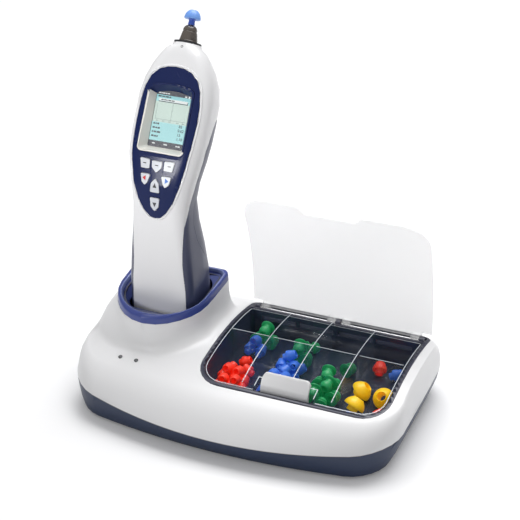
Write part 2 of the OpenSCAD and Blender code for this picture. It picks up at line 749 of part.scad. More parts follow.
// Soft ear tips: a hollow stem with a wide umbrella, stem end at the origin
function tip_stem(d) = d * 0.17 + 1.6;
module soft_tip(d, h) {
    s = tip_stem(d);
    rotate_extrude() polygon([
        [s - 1, 0], [s, 0], [s, h * 0.42], [d / 2 - 0.6, h * 0.3], [d / 2, h * 0.36], [d / 2 * 0.95, h * 0.55],
        [d / 2 * 0.75, h * 0.78], [s, h * 0.96], [s - 1, h]
    ]);
}
module flanged_tip(d, h) {
    s = tip_stem(d);
    rotate_extrude() polygon([
        [s - 1, 0], [d / 2, 0], [d / 2, 1.2], [s, 1.8], [s, h * 0.5], [s + 1.6, h * 0.55], [s + 1.3, h * 0.8],
        [s, h * 0.97], [s - 1, h]
    ]);
}
// Lying on the floor of the insert: rim and stem both touch it
module lying(p, d, h, flanged = false) {
    rim_r = flanged ? tip_stem(d) + 1.35 : d / 2;
    end_r = flanged ? d / 2 : tip_stem(d);
    rim_h = flanged ? h * 0.8 : h * 0.36;
    tilt = atan((rim_r - end_r) / rim_h);
    translate([p[0], p[1], tray_floor_h + 0.2])
        rotate([0, 0, p[2]])
            translate([-h / 2, 0, end_r * cos(tilt) + (len(p) > 3 ? p[3] : 0)])
                rotate([0, 90 - tilt, 0]) {
                    if (flanged) flanged_tip(d, h);
                    else soft_tip(d, h);
                }
}
// Some lying side by side, with a row turned the other way in the hollows between them
pile_gap = 0.6;
module pile(at, d, h, flanged = false, n = 2) {
    pitch = d + pile_gap;
    rise = sqrt(d * d - pitch * pitch / 4) - (flanged ? 1.25 : 0.15);
    translate([at[0], at[1], 0]) rotate([0, 0, at[2]]) {
        for (i = [0:n - 1]) lying([0, (i - (n - 1) / 2) * pitch, 0], d, h, flanged);
        for (i = [0:n - 2]) lying([0, (i - (n - 2) / 2) * pitch, 180, rise], d, h, flanged);
    }
}
column = [
    (insert_x + divider_x(0)) / 2, (divider_x(0) + divider_x(1)) / 2,
    (divider_x(1) + divider_x(2)) / 2, (divider_x(2) + insert_x + insert_w) / 2
];
front_y = insert_y + tray_wall;
rear_y = cross_y + tray_wall / 2;
red_piles = [[column[0] + 1.5, front_y + 15.5, 98], [column[0] - 1, front_y + 31, 82]];
red_tips = [
    [column[0] - 9, front_y + 45.5, 70], [column[0] + 6, front_y + 47, 160], [column[0] - 1, front_y + 60, 10],
    [column[3] + 12, front_y + 25, 60]
];
blue_piles = [[column[1] + 1, front_y + 20.5, 94], [column[1] - 0.5, front_y + 36, 84]];
blue_tips = [
    [column[1] - 9, front_y + 51, 30], [column[1] + 7, front_y + 51, -40], [column[1] - 1, front_y + 60, 85],
    [column[3] - 10, front_y + 9.5, 130], [column[3] + 6, front_y + 9, 20], [column[3] + 8, rear_y + 20, 15]
];
green_piles = [
    [column[2] - 3.5, front_y + 20.5, 100], [column[2] + 3.5, front_y + 37, 80],
    [column[2] - 2, front_y + 53, 97], [column[1], rear_y + 14, 96], [column[0] + 1, rear_y + 31, 88]
];
green_tips = [[column[1] + 6, rear_y + 34, 40], [column[2] + 8, rear_y + 13, 70]];
yellow_tips = [
    [column[3] - 9, front_y + 30, 60], [column[3] + 9, front_y + 45, -95], [column[3] - 9.5, front_y + 52, 20]
];
module tips_red() {
    color("red") {
        for (p = red_piles) pile(p, small_tip_d, 11, n = 3);
        for (p = red_tips) lying(p, small_tip_d, 11);
        lying([column[3] - 9, rear_y + 24, 100], medium_tip_d, 12);
    }
}
module tips_green() {
    color("green") {
        for (p = green_piles) pile(p, medium_tip_d, 12, true);
        for (p = green_tips) lying(p, medium_tip_d, 12, true);
    }
}
module tips_blue() {
    color("blue") {
        for (p = blue_piles) pile(p, small_tip_d + 0.5, 12, n = 3);
        for (p = blue_tips) lying(p, small_tip_d + 0.5, 12);
        pile([column[0] - 1, rear_y + 12, 84], small_tip_d + 0.5, 12);
    }
}
module tips_yellow() {
    color("gold") for (p = yellow_tips) lying(p, large_tip_d, 13);
}

// Lid, drawn closed and then swung open about its hinge
lid_left = tray_left + 0.5;
lid_right = tray_right - 0.5;
lid_front = tray_front + 5.5;
lid_back = hinge_y + 2;
lid_rise = divider_rise + 0.5;
notch_x = latch_w / 2 + 4;
notch_y = latch_y + 6;
module swung_open() {
    translate([0, hinge_y, hinge_z]) rotate([-lid_open, 0, 0]) translate([0, -hinge_y, -hinge_z]) children();
}
// Front edge of the lid, drawn back round the latch
function ease(t) = t * t * (3 - 2 * t);
function lid_edge(x) = lerp(lid_front, notch_y, ease(clamp((notch_x + 5 - abs(x - latch_x)) / 7)));
module lid_plan() {
    hw = (lid_right - lid_left) / 2;
    steps = 48;
    ring = rounded(hw, lid_front, lid_back, tray_r, 3, 1);
    left = ring[len(ring) - 1][0];
    right = ring[0][0];
    translate([lid_left + hw, 0]) polygon(concat(ring, [
        for (i = [1:steps - 1]) let (x = lerp(left, right, i / steps)) [x, lid_edge(x + lid_left + hw)]
    ]));
}
module lid() {
    knuckles = [lug_x[0] + lug_w + 0.4, lug_x[1] - 8.4, lug_x[1] + lug_w + 0.4, lug_x[2] - 8.4];
    color("gainsboro") swung_open() difference() {
        union() {
            intersection() {
                translate([0, 0, 20]) linear_extrude(70) lid_plan();
                difference() {
                    below_deck(lid_rise + lid_t);
                    below_deck(lid_rise);
                }
            }
            for (x = knuckles) {
                translate([x, hinge_y, hinge_z]) rotate([0, 90, 0]) cylinder(h = 8, d = 7);
                intersection() {
                    translate([x, hinge_y - 3.5, hinge_z]) cube([8, 5, 20]);
                    below_deck(lid_rise + 0.5);
                }
            }
        }
        for (x = [tray_left - 0.5, tray_right - 9.5]) translate([x, hinge_y - 3.5, 0]) cube([10, 30, 90]);
        translate([lid_left - 1, hinge_y, hinge_z]) rotate([0, 90, 0]) cylinder(h = tray_w + 2, d = hinge_pin_d + 0.6);
    }
}
module latch_face(z0, z1) {
    r = 5.5;
    translate([0, latch_y + 20, 0]) rotate([90, 0, 0]) linear_extrude(40)
        translate([latch_x, 0]) polygon(rounded(latch_w / 2, z0, z1, 0.2, r, 1));
}
module lid_latch() {
    x0 = latch_x - latch_w / 2;
    y = latch_y;
    bend = latch_z + 11;
    top = latch_z + latch_h + 4;
    color("whitesmoke") difference() {
        union() {
            translate([x0, y, latch_z]) rotate([0, 90, 0]) cylinder(h = latch_w, d = 6);
            intersection() {
                translate([x0, 0, 0]) rotate([90, 0, 90]) linear_extrude(latch_w) polygon([
                    [y - 2, latch_z], [y - 2, bend - 1], [y - 1.2, bend + 1.5], [y + 4.4, top - 0.6], [y + 5.4, top],
                    [y + 6.6, top - 0.4], [y + 6.9, top - 1.6], [y + 6.4, top - 3.2], [y + 7.2, top - 4.8],
                    [y + 6.9, top - 5.4], [y + 4, top - 6], [y + 1.8, bend + 1], [y + 1.2, bend - 1], [y + 1.2, latch_z]
                ]);
                latch_face(latch_z - 1, top + 0.1);
            }
        }
        translate([x0 - 1, y, latch_z]) rotate([0, 90, 0]) cylinder(h = latch_w + 2, d = latch_pin_d + 0.6);
        translate([latch_x - 3.6, y - 6, latch_z - 6]) cube([7.2, 14, 10]);
    }
}

// Handset shells
module handset_skin() {
    difference() {
        handset_form();
        handset_hollow();
    }
}
module panel_zone(grow, over, under) {
    intersection() {
        difference() {
            handset_form(-over);
            handset_form(under);
        }
        panel_prism(grow);
        front_half();
    }
}
module handset_front_shell() {
    color("whitesmoke") one_mesh() difference() {
        intersection() {
            handset_skin();
            front_zone();
        }
        panel_zone(0, 2, 1.2);
        window_prism(1.3, -60, 0);
        key_holes(key_gap);
        on_head(head_len - 12) cylinder(h = 20, d = 10.4);
    }
}
screw_along = 14;
module screw_axes() {
    for (x = [-21, 21]) on_head(screw_along) translate([x, 12, 0]) rotate([-90, 0, 0]) children();
    translate([handset_x, spine_y + 15, foot_z + 20]) rotate([-90, 0, 0]) children();
}
module handset_rear_shell() {
    color("midnightblue") one_mesh() difference() {
        union() {
            handset_skin();
            intersection() {
                handset_form(0.6);
                screw_axes() cylinder(h = 40, d = 8, $fn = 24);
            }
        }
        front_zone();
        cover_region(0.25);
        screw_axes() {
            translate([0, 0, 12]) cylinder(h = 40, d = 5.6, $fn = 24);
            translate([0, 0, -1]) cylinder(h = 40, d = 3, $fn = 24);
        }
        for (x = [-8, 8]) translate([handset_x + x, spine_y + 8, foot_z - 1]) cylinder(h = 8, d = 5.4, $fn = 24);
    }
}
module battery_cover() {
    color("navy") one_mesh() intersection() {
        handset_skin();
        cover_region();
    }
}
module handset_screws() {
    color("silver") screw_axes() {
        cylinder(h = 12.5, d = 2.7);
        translate([0, 0, 12]) cylinder(h = 1.8, d = 5);
    }
}
module handset_contacts() {
    color("gold") for (x = [-8, 8]) translate([handset_x + x, spine_y + 8, foot_z]) cylinder(h = 3.2, d = 5);
}

// Front panel, display and keypad
module display_panel() {
    color("midnightblue") one_mesh() difference() {
        panel_zone(-0.15, 0.5, 1.2);
        window_prism(1.3, -60, 0);
        key_holes(key_gap);
    }
}
module display_frame() {
    color("silver") one_mesh() intersection() {
        handset_form(-1.1);
        on_head(window_along) difference() {
            loft([window_ring(1.1, -40), window_ring(1.1, glass_y)]);
            loft([window_ring(0, -41), window_ring(0, -16.6), window_ring(-4.4, glass_y + 0.1)]);
        }
    }
}
module display_window() {
    color("lightcyan") on_head(window_along) loft([window_ring(-2.5, glass_y), window_ring(-2.5, glass_y + 1)]);
}
module lcd_module() {
    color("steelblue") on_head(window_along) translate([1 - window_w / 2, glass_y + 1.1, 1 - window_h / 2])
        cube([window_w - 2, 3.4, window_h - 4]);
}
module keypad_mat() {
    color("gray") on_pad() translate([-16.5, key_back + 0.9, -21.5]) cube([33, 1.6, 43]);
}
module main_board() {
    color("seagreen") on_pad() translate([-17.4, key_back + 2.6, -34]) cube([34.8, 1.6, 57]);
}
module battery_pack() {
    color("gray") translate([handset_x, spine_y + 15.4, foot_z + 28])
        cylinder(h = 64, d = 26);
}
module air_pump() {
    color("dimgray") on_head(-2) {
        translate([-14, -2, 0]) cube([28, 17, 28]);
        translate([0, 4, 27]) cylinder(h = 4, d = 7);
    }
}
module pump_tube() {
    color("lightgray") on_head(-2) translate([0, 4, 28.5]) difference() {
        cylinder(h = head_len - 37, d = 5);
        translate([0, 0, -1]) cylinder(h = head_len - 34, d = 2.4);
        translate([0, 0, -1]) cylinder(h = 3.6, d = 7);
    }
}
module nose_ring() {
    color("dimgray") on_head(head_len + 0.05) difference() {
        cylinder(h = 1.55, d = nose_d);
        translate([0, 0, -1]) cylinder(h = 4, d = 10.4);
    }
}
module probe_body() {
    color("navy") on_head(head_len) difference() {
        union() {
            translate([0, 0, -8]) cylinder(h = 9.6, d = 10);
            translate([0, 0, -9.5]) cylinder(h = 3, d = 14);
            cylinder(h = cap_h + 10, d = spigot_d);
        }
        translate([0, 0, -12]) cylinder(h = cap_h + 24, d = 1.6);
    }
}
module probe_cap() {
    r = cap_d / 2;
    color("dimgray") on_head(head_len + 1.6) difference() {
        union() {
            rotate_extrude() polygon([
                [0, 0], [r, 0], [r * 0.96, 1.6], [r * 0.72, cap_h * 0.66], [r * 0.62, cap_h * 0.86],
                [r * 0.46, cap_h * 0.97], [0, cap_h]
            ]);
            for (i = [0:7]) rotate([0, 0, i * 45]) translate([r * 0.9, 0, 0]) rotate([0, -12, 0])
                cylinder(h = cap_h * 0.7, d = 1.6);
        }
        translate([0, 0, -1]) cylinder(h = cap_h + 2, d = spigot_d);
        translate([-20, -20, -10]) cube([40, 40, 10]);
    }
}
module ear_tip() {
    color("dodgerblue") on_head(head_len + 1.6 + cap_h + 0.2) rotate_extrude() polygon([
        [spigot_d / 2 + 0.3, 0], [3.1, 0], [3.1, worn_tip_h * 0.42], [worn_tip_d / 2 - 0.5, worn_tip_h * 0.38],
        [worn_tip_d / 2, worn_tip_h * 0.45], [worn_tip_d / 2 * 0.92, worn_tip_h * 0.66],
        [worn_tip_d / 2 * 0.62, worn_tip_h * 0.9], [3, worn_tip_h], [spigot_d / 2 + 0.3, worn_tip_h]
    ]);
}

// Keys
module key_left_soft() { color("lightgray") key_cap(0); }
module key_menu() { color("lightgray") key_cap(1); }
module key_right_soft() { color("lightgray") key_cap(2); }
module key_left() { color("lightgray") key_cap(3); }
module key_right() { color("lightgray") key_cap(4); }
module key_up() { color("lightgray") key_cap(5); }
module key_down() { color("lightgray") key_cap(6); }

base_top_shell();
base_bottom_shell();
rubber_feet();
base_screws();
cradle_collar();
cradle_cup();
charge_contacts();
charge_board();
status_lights();
power_inlet();
data_socket();
tip_well();
hinge_pin();
latch_pin();
latch_spring();
tip_tray();
tips_red();
tips_green();
tips_blue();
tips_yellow();
lid();
lid_latch();
handset_front_shell();
handset_rear_shell();
battery_cover();
display_panel();
display_frame();
display_window();
lcd_module();
keypad_mat();
main_board();
battery_pack();
air_pump();
pump_tube();
nose_ring();
probe_body();
probe_cap();
handset_contacts();
handset_screws();
key_left_soft();
key_menu();
key_right_soft();
key_left();
key_right();
key_up();
key_down();
ear_tip();
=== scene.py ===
# %% [markdown]
# # A hand-held tympanometer in its charging cradle
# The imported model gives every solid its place. This notebook dresses those solids:
# smooth skins, moulded plastic, a lit screen, printed key signs and soft ear tips.
# Everything is in metres, with the middle of the base on the table at the origin, and
# `mm` turns a drawing's millimetres into metres.

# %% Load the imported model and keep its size
import bpy
import json
import math
from mathutils import Vector, Matrix
from mathutils.bvhtree import BVHTree


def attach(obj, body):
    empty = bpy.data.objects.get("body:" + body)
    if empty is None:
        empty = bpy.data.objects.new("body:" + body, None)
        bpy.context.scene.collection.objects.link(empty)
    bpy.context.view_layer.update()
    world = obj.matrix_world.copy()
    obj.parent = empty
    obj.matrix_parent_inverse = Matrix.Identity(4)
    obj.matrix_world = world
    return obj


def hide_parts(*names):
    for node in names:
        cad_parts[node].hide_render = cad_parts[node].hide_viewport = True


mm = 0.001
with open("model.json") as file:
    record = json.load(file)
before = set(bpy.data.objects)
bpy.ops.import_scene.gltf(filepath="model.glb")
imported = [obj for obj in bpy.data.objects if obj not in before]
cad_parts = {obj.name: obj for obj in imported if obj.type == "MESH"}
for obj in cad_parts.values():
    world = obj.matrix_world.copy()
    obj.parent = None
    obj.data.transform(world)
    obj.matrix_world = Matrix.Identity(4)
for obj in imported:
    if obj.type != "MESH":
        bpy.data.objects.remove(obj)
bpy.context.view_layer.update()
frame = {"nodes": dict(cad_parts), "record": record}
nodes = frame["nodes"]
bpy.context.scene.view_settings.view_transform = "Standard"

# %% [markdown]
# ## The camera
# The viewing angle was fitted to the outline of the base. The camera stands a little
# to the right of the middle, looks down at 28.5 degrees, and is 1.3 m away, so that
# the far end of the base is drawn slightly smaller than the near end.

# %% Camera
turn = math.radians(22.5)
tilt = math.radians(28.5)
right = Vector((math.cos(turn), math.sin(turn), 0))
level = Vector((-math.sin(turn), math.cos(turn), 0))
ahead = level * math.cos(tilt) - Vector((0, 0, math.sin(tilt)))
up = right.cross(ahead)
centre_of_view = Vector((0.003, 0.014, 0)) + right * -0.00244 + up * 0.1206
view_distance = 1.3
bpy.ops.object.camera_add(location=centre_of_view - ahead * view_distance)
camera = bpy.context.object
camera.rotation_euler = Matrix((right, up, -ahead)).transposed().to_euler()
camera.data.lens = 99.0
camera.data.sensor_width = 36.0
camera.data.clip_end = 20
bpy.context.scene.camera = camera
print("camera at", camera.location)

# %% [markdown]
# ## Two frames on the handset
# The head of the handset leans back by 29 degrees and the keypad by 10. Their frames
# have x across the handset, y into it and z along it. The display is drawn in the first
# and the key signs in the second, and both are then carried over to the handset.

# %% Frames of the head and the keypad
handset_x, spine_y, foot_z = -89.0, 14.0, 36.3
grip_h, neck_r, lean, head_len = 142.0, 110.0, math.radians(29), 81.0
pad_y = spine_y - 22.5
pad_z = foot_z + grip_h + 21.5
neck_end_y = spine_y + neck_r - neck_r * math.cos(lean)
neck_end_z = foot_z + grip_h + neck_r * math.sin(lean)


def frame_at(x, y, z, back):
    """A frame at a point in millimetres, leaning back by an angle."""
    return Matrix.Translation(Vector((x, y, z)) * mm) @ Matrix.Rotation(-back, 4, "X")


def along(distance):
    return Matrix.Translation((0, 0, distance * mm))


on_head = frame_at(handset_x, neck_end_y, neck_end_z, lean)
on_pad = frame_at(handset_x, pad_y, pad_z, math.radians(10))
print("head frame at", on_head.translation, "keypad frame at", on_pad.translation)

# %% [markdown]
# ## Helpers for modelling
# An operator acts on all that is selected, so every step starts with one piece selected.
# A finished piece has its place in its mesh and its object at the origin. A modifier is
# applied as soon as it is set, and faces are picked by their place and direction.

# %% Selecting, shaping and settling a piece
def only(*pieces):
    bpy.ops.object.select_all(action="DESELECT")
    for piece in pieces:
        piece.select_set(True)
    bpy.context.view_layer.objects.active = pieces[0]


def settle(piece):
    """Puts the piece's place into its mesh, so that the object sits at the origin."""
    only(piece)
    bpy.ops.object.transform_apply(location=True, rotation=True, scale=True)
    return piece


def shaped(piece, kind, **settings):
    """Adds a modifier with these settings and applies it at once."""
    only(piece)
    bpy.ops.object.modifier_add(type=kind)
    modifier = piece.modifiers[-1]
    for setting, value in settings.items():
        setattr(modifier, setting, value)
    bpy.ops.object.modifier_apply(modifier=modifier.name)


def pick_faces(piece, wanted):
    """Selects the faces whose centre and normal pass the test, and enters edit mode."""
    only(piece)
    bpy.ops.object.mode_set(mode="EDIT")
    bpy.ops.mesh.select_mode(type="FACE")
    bpy.ops.mesh.select_all(action="DESELECT")
    bpy.ops.object.mode_set(mode="OBJECT")
    for face in piece.data.polygons:
        face.select = wanted(face.center, face.normal)
    bpy.ops.object.mode_set(mode="EDIT")


def second_finish(piece):
    """Gives the picked faces the piece's second material and leaves edit mode."""
    piece.active_material_index = 1
    bpy.ops.object.material_slot_assign()
    bpy.ops.object.mode_set(mode="OBJECT")


def joined(name, pieces):
    only(*pieces)
    bpy.ops.object.join()
    piece = bpy.context.object
    piece.name = name
    return piece


def copied(piece, place):
    """A copy with its own mesh, moved by a matrix."""
    twin = piece.copy()
    twin.data = piece.data.copy()
    bpy.context.collection.objects.link(twin)
    twin.matrix_world = place @ piece.matrix_world
    return twin


# %% Finishing a piece
def finished(piece, name, body, material, replaced=(), degrees=35):
    """Names a piece, gives it its finish and lets it ride on its body."""
    settle(piece)
    piece.name = name
    if material:
        piece.data.materials.clear()
        piece.data.materials.append(material)
    if degrees:
        bpy.ops.object.shade_smooth_by_angle(angle=math.radians(degrees))
        shaped(piece, "WEIGHTED_NORMAL", mode="FACE_AREA", weight=60, keep_sharp=True)
    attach(piece, body)
    if replaced:
        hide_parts(*replaced)
    print(name, "has", len(piece.data.polygons), "faces")
    return piece


# %% [markdown]
# ## Helpers for skins and turned parts
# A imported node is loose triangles, which shade as flat facets. A merged copy can be
# shaded by angle, so that a curved shell looks smooth, and the copy stands for the node.
# Round parts are turned as on a lathe: one ring is pulled along a profile, ring by ring,
# and closed on itself, so that every turned part has a real bore and a real wall.

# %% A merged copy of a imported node
def skin_of(node):
    piece = nodes[node].copy()
    piece.data = nodes[node].data.copy()
    piece.name = node + "_skin"
    piece.parent = None
    piece.matrix_world = Matrix.Identity(4)
    bpy.context.collection.objects.link(piece)
    piece.hide_viewport = piece.hide_render = False
    piece.hide_set(False)
    only(piece)
    bpy.ops.object.mode_set(mode="EDIT")
    bpy.ops.mesh.select_all(action="SELECT")
    bpy.ops.mesh.remove_doubles(threshold=0.00002)
    bpy.ops.object.mode_set(mode="OBJECT")
    return piece


# %% A turned part
def turned(profile, sides=32):
    """Pulls one ring along a profile of (radius, height) points and closes it."""
    bpy.ops.object.select_all(action="DESELECT")
    bpy.ops.mesh.primitive_circle_add(vertices=sides, radius=profile[0][0] * mm)
    piece = bpy.context.object
    bpy.ops.object.mode_set(mode="EDIT")
    bpy.ops.mesh.select_mode(type="EDGE")
    bpy.ops.mesh.select_all(action="SELECT")
    bpy.ops.transform.translate(value=(0, 0, profile[0][1] * mm))
    before = profile[0]
    for after in profile[1:] + profile[:1]:
        lift = (0, 0, (after[1] - before[1]) * mm)
        bpy.ops.mesh.extrude_region_move(TRANSFORM_OT_translate={"value": lift})
        grow = after[0] / before[0]
        bpy.ops.transform.resize(value=(grow, grow, 1), center_override=(0, 0, after[1] * mm))
        before = after
    bpy.ops.mesh.select_all(action="SELECT")
    bpy.ops.mesh.remove_doubles(threshold=0.000004)
    bpy.ops.mesh.normals_make_consistent(inside=False)
    bpy.ops.object.mode_set(mode="OBJECT")
    return piece


body_of = {n: b for b, names in frame["record"]["behaviour"]["bodies"].items() for n in names}

# %% [markdown]
# ## Shared surface effects
# Moulded plastic is never one flat colour. A fine grain breaks up the highlights, and a
# broad, faint variation in tone and gloss comes from moulding and handling. Both live in
# one node group, so each plastic only states how strong they are.

# %% Node group for moulded plastic
def new_group(name, inputs, outputs):
    group = bpy.data.node_groups.new(name, "ShaderNodeTree")
    for label, kind, default in inputs:
        socket = group.interface.new_socket(name=label, in_out="INPUT", socket_type=kind)
        socket.default_value = default
    for label, kind in outputs:
        group.interface.new_socket(name=label, in_out="OUTPUT", socket_type=kind)
    return group, group.nodes.new("NodeGroupInput"), group.nodes.new("NodeGroupOutput")


def maths(tree, kind, first, second=None, third=None):
    """A Math node whose inputs are sockets or plain numbers."""
    node = tree.nodes.new("ShaderNodeMath")
    node.operation = kind
    for place, value in enumerate((first, second, third)):
        if value is None:
            continue
        if isinstance(value, (int, float)):
            node.inputs[place].default_value = value
        else:
            tree.links.new(value, node.inputs[place])
    return node.outputs[0]


def noise(tree, where, size, detail=2.0, warp=0.0):
    node = tree.nodes.new("ShaderNodeTexNoise")
    node.inputs["Detail"].default_value = detail
    node.inputs["Distortion"].default_value = warp
    tree.links.new(where, node.inputs["Vector"])
    if isinstance(size, (int, float)):
        node.inputs["Scale"].default_value = size
    else:
        tree.links.new(size, node.inputs["Scale"])
    return node.outputs["Fac"]


value, colour = "NodeSocketFloat", "NodeSocketColor"
moulded_surface, given, result = new_group(
    "moulded_surface",
    [("Color In", colour, (0.8, 0.8, 0.8, 1)), ("Gloss In", value, 0.4),
     ("Grain Size", value, 900.0), ("Grain Depth", value, 0.5),
     ("Tone", value, 0.05), ("Handling", value, 0.1)],
    [("Color", colour), ("Roughness", value), ("Height", value)],
)
where = moulded_surface.nodes.new("ShaderNodeTexCoord").outputs["Object"]
grain = noise(moulded_surface, where, given.outputs["Grain Size"])
depth = maths(moulded_surface, "MULTIPLY", grain, given.outputs["Grain Depth"])
broad = maths(moulded_surface, "SUBTRACT", noise(moulded_surface, where, 28.0, 4.0), 0.5)
dim = maths(moulded_surface, "MULTIPLY_ADD", broad, given.outputs["Tone"], 1.0)
shade = moulded_surface.nodes.new("ShaderNodeHueSaturation")
touch = noise(moulded_surface, where, 75.0, 6.0, 0.6)
worn = maths(
    moulded_surface, "MULTIPLY_ADD", touch, given.outputs["Handling"], given.outputs["Gloss In"])
moulded_surface.links.new(dim, shade.inputs["Value"])
moulded_surface.links.new(given.outputs["Color In"], shade.inputs["Color"])
moulded_surface.links.new(shade.outputs["Color"], result.inputs["Color"])
moulded_surface.links.new(worn, result.inputs["Roughness"])
moulded_surface.links.new(depth, result.inputs["Height"])

# %% [markdown]
# ## The parting line of the base
# The white upper shell meets the navy lower shell in a fine shadow line that dips at the
# front. It could be cut into the mesh, but a line of half a millimetre is finer than
# the skins' faces, so a second group draws it: it follows the same curve as the seam,
# 20 mm above the table in the middle and 29 mm at the sides.

# %% Node group for the parting line
parting_line, given, result = new_group(
    "parting_line",
    [("Middle", value, 20 * mm), ("Rise", value, 9 * mm), ("Half Width", value, 152 * mm),
     ("Line", value, 0.5 * mm)],
    [("Mask", value)],
)
split = parting_line.nodes.new("ShaderNodeSeparateXYZ")
spot = parting_line.nodes.new("ShaderNodeTexCoord").outputs["Object"]
parting_line.links.new(spot, split.inputs[0])
share = maths(parting_line, "DIVIDE", split.outputs["X"], given.outputs["Half Width"])
square = maths(parting_line, "MULTIPLY", share, share)
seam = maths(parting_line, "MULTIPLY_ADD", square, given.outputs["Rise"], given.outputs["Middle"])
offset = maths(parting_line, "SUBTRACT", split.outputs["Z"], seam)
apart = maths(parting_line, "ABSOLUTE", offset)
inside = maths(parting_line, "DIVIDE", apart, given.outputs["Line"])
mask = maths(parting_line, "SUBTRACT", 1.0, inside)
limit = parting_line.nodes.new("ShaderNodeClamp")
parting_line.links.new(mask, limit.inputs[0])
parting_line.links.new(limit.outputs[0], result.inputs["Mask"])

# %% [markdown]
# ## Plastics
# Each plastic is one Principled shader fed by the group: the shells are satin, the panel
# glossy, the feet dull. A clear coat gives the shells their second, sharper highlight.

# %% Materials made with the groups
def fed_material(name, group, rgb):
    """A material, its shader, and a node of this group that is given the colour."""
    material = bpy.data.materials.new(name)
    material.use_nodes = True
    surface = material.node_tree.nodes.new("ShaderNodeGroup")
    surface.name = "surface"
    surface.node_tree = group
    surface.inputs["Color In"].default_value = (*rgb, 1)
    return material, material.node_tree.nodes["Principled BSDF"], surface


def feed(tree, surface, shader, bump, distance):
    """Links the colour, gloss and grain of the group to the shader."""
    relief = tree.nodes.new("ShaderNodeBump")
    relief.inputs["Strength"].default_value = bump
    relief.inputs["Distance"].default_value = distance
    tree.links.new(surface.outputs["Color"], shader.inputs["Base Color"])
    tree.links.new(surface.outputs["Roughness"], shader.inputs["Roughness"])
    tree.links.new(surface.outputs["Height"], relief.inputs["Height"])
    tree.links.new(relief.outputs["Normal"], shader.inputs["Normal"])


def plastic(name, rgb, rough, size=900.0, depth=0.4, tone=0.04, handling=0.08, coat=0.0,
            bump=0.25):
    """A plastic of this linear colour and roughness, with its grain and handling."""
    material, shader, surface = fed_material(name, moulded_surface, rgb)
    surface.inputs["Gloss In"].default_value = rough
    surface.inputs["Grain Size"].default_value = size
    surface.inputs["Grain Depth"].default_value = depth
    surface.inputs["Tone"].default_value = tone
    surface.inputs["Handling"].default_value = handling
    feed(material.node_tree, surface, shader, bump, 0.1 * mm)
    shader.inputs["Coat Weight"].default_value = coat
    shader.inputs["Coat Roughness"].default_value = 0.12
    return material


def clear(name, rgb, rough, alpha):
    """A see-through plastic: most light passes, and the surface keeps its gloss."""
    material = plastic(name, rgb, rough, size=300, depth=0.03, tone=0.02, handling=0.04,
                       bump=0.05)
    shader = material.node_tree.nodes["Principled BSDF"]
    shader.inputs["Alpha"].default_value = alpha
    shader.inputs["IOR"].default_value = 1.49
    return material


def with_seam(material, rgb):
    """Draws the parting line of the base into a shell's colour."""
    tree = material.node_tree
    shader = tree.nodes["Principled BSDF"]
    line = tree.nodes.new("ShaderNodeGroup")
    line.node_tree = parting_line
    mix = tree.nodes.new("ShaderNodeMix")
    mix.data_type = "RGBA"
    mix.inputs["B"].default_value = (*rgb, 1)
    tree.links.new(line.outputs["Mask"], mix.inputs["Factor"])
    tree.links.new(tree.nodes["surface"].outputs["Color"], mix.inputs["A"])
    tree.links.new(mix.outputs["Result"], shader.inputs["Base Color"])


# %% The finishes of this object
white_base = plastic("white_base", (0.8, 0.8, 0.81), 0.3, coat=0.2, tone=0.02)
with_seam(white_base, (0.1, 0.1, 0.12))
navy_base = plastic("navy_base", (0.02, 0.036, 0.085), 0.36)
with_seam(navy_base, (0.006, 0.007, 0.012))
white_handset = plastic("white_handset", (0.78, 0.78, 0.79), 0.26, coat=0.25, tone=0.02)
navy_handset = plastic("navy_handset", (0.04, 0.048, 0.1), 0.3, coat=0.15)
navy_panel = plastic("navy_panel", (0.006, 0.014, 0.075), 0.22, tone=0.1)
navy_panel.node_tree.nodes["Principled BSDF"].inputs["Specular IOR Level"].default_value = 0.3
collar_blue = plastic("collar_blue", (0.038, 0.062, 0.27), 0.26, coat=0.25)
ledge_blue = plastic("ledge_blue", (0.04, 0.06, 0.22), 0.26, coat=0.3)
# painted highlight: a paler blue for the inner edge of the collar
highlight_blue = plastic("highlight_blue", (0.16, 0.2, 0.42), 0.24, coat=0.3)
cup_navy = plastic("cup_navy", (0.012, 0.016, 0.05), 0.4)
well_navy = plastic("well_navy", (0.022, 0.024, 0.05), 0.3, coat=0.2)
dark_plastic = plastic("dark_plastic", (0.022, 0.022, 0.026), 0.38)
grey_plastic = plastic("grey_plastic", (0.2, 0.2, 0.21), 0.45)
foot_rubber = plastic("foot_rubber", (0.02, 0.02, 0.02), 0.7, size=1600, depth=0.9)
key_plastic = plastic("key_plastic", (0.6, 0.62, 0.66), 0.36, coat=0.15)
silver_paint = plastic("silver_paint", (0.78, 0.76, 0.71), 0.34, size=1800, depth=0.6)
smoky_plastic = plastic("smoky_plastic", (0.085, 0.07, 0.06), 0.2, coat=0.4, tone=0.4)
board_green = plastic("board_green", (0.02, 0.14, 0.06), 0.4, tone=0.3)
bright_steel = plastic("bright_steel", (0.6, 0.6, 0.62), 0.22, size=1500, depth=0.3)
plated_brass = plastic("plated_brass", (0.83, 0.62, 0.25), 0.25)
milky_plastic = plastic("milky_plastic", (0.82, 0.82, 0.83), 0.3, coat=0.15, tone=0.03)
lens_grey = plastic("lens_grey", (0.1, 0.1, 0.105), 0.15, coat=0.5)
for metal, share in ((bright_steel, 1.0), (plated_brass, 1.0), (silver_paint, 0.15)):
    metal.node_tree.nodes["Principled BSDF"].inputs["Metallic"].default_value = share
tray_clear = clear("tray_clear", (0.1, 0.14, 0.22), 0.05, 0.16)
# painted highlight: a pale, nearly opaque finish for the top edges of the insert
tray_edge_highlight = clear("tray_edge_highlight", (0.72, 0.76, 0.8), 0.12, 0.8)
lid_frost = clear("lid_frost", (0.76, 0.76, 0.77), 0.35, 0.28)
glass = clear("display_glass", (0.8, 0.85, 0.9), 0.03, 0.06)
print("made", len(bpy.data.materials), "materials")

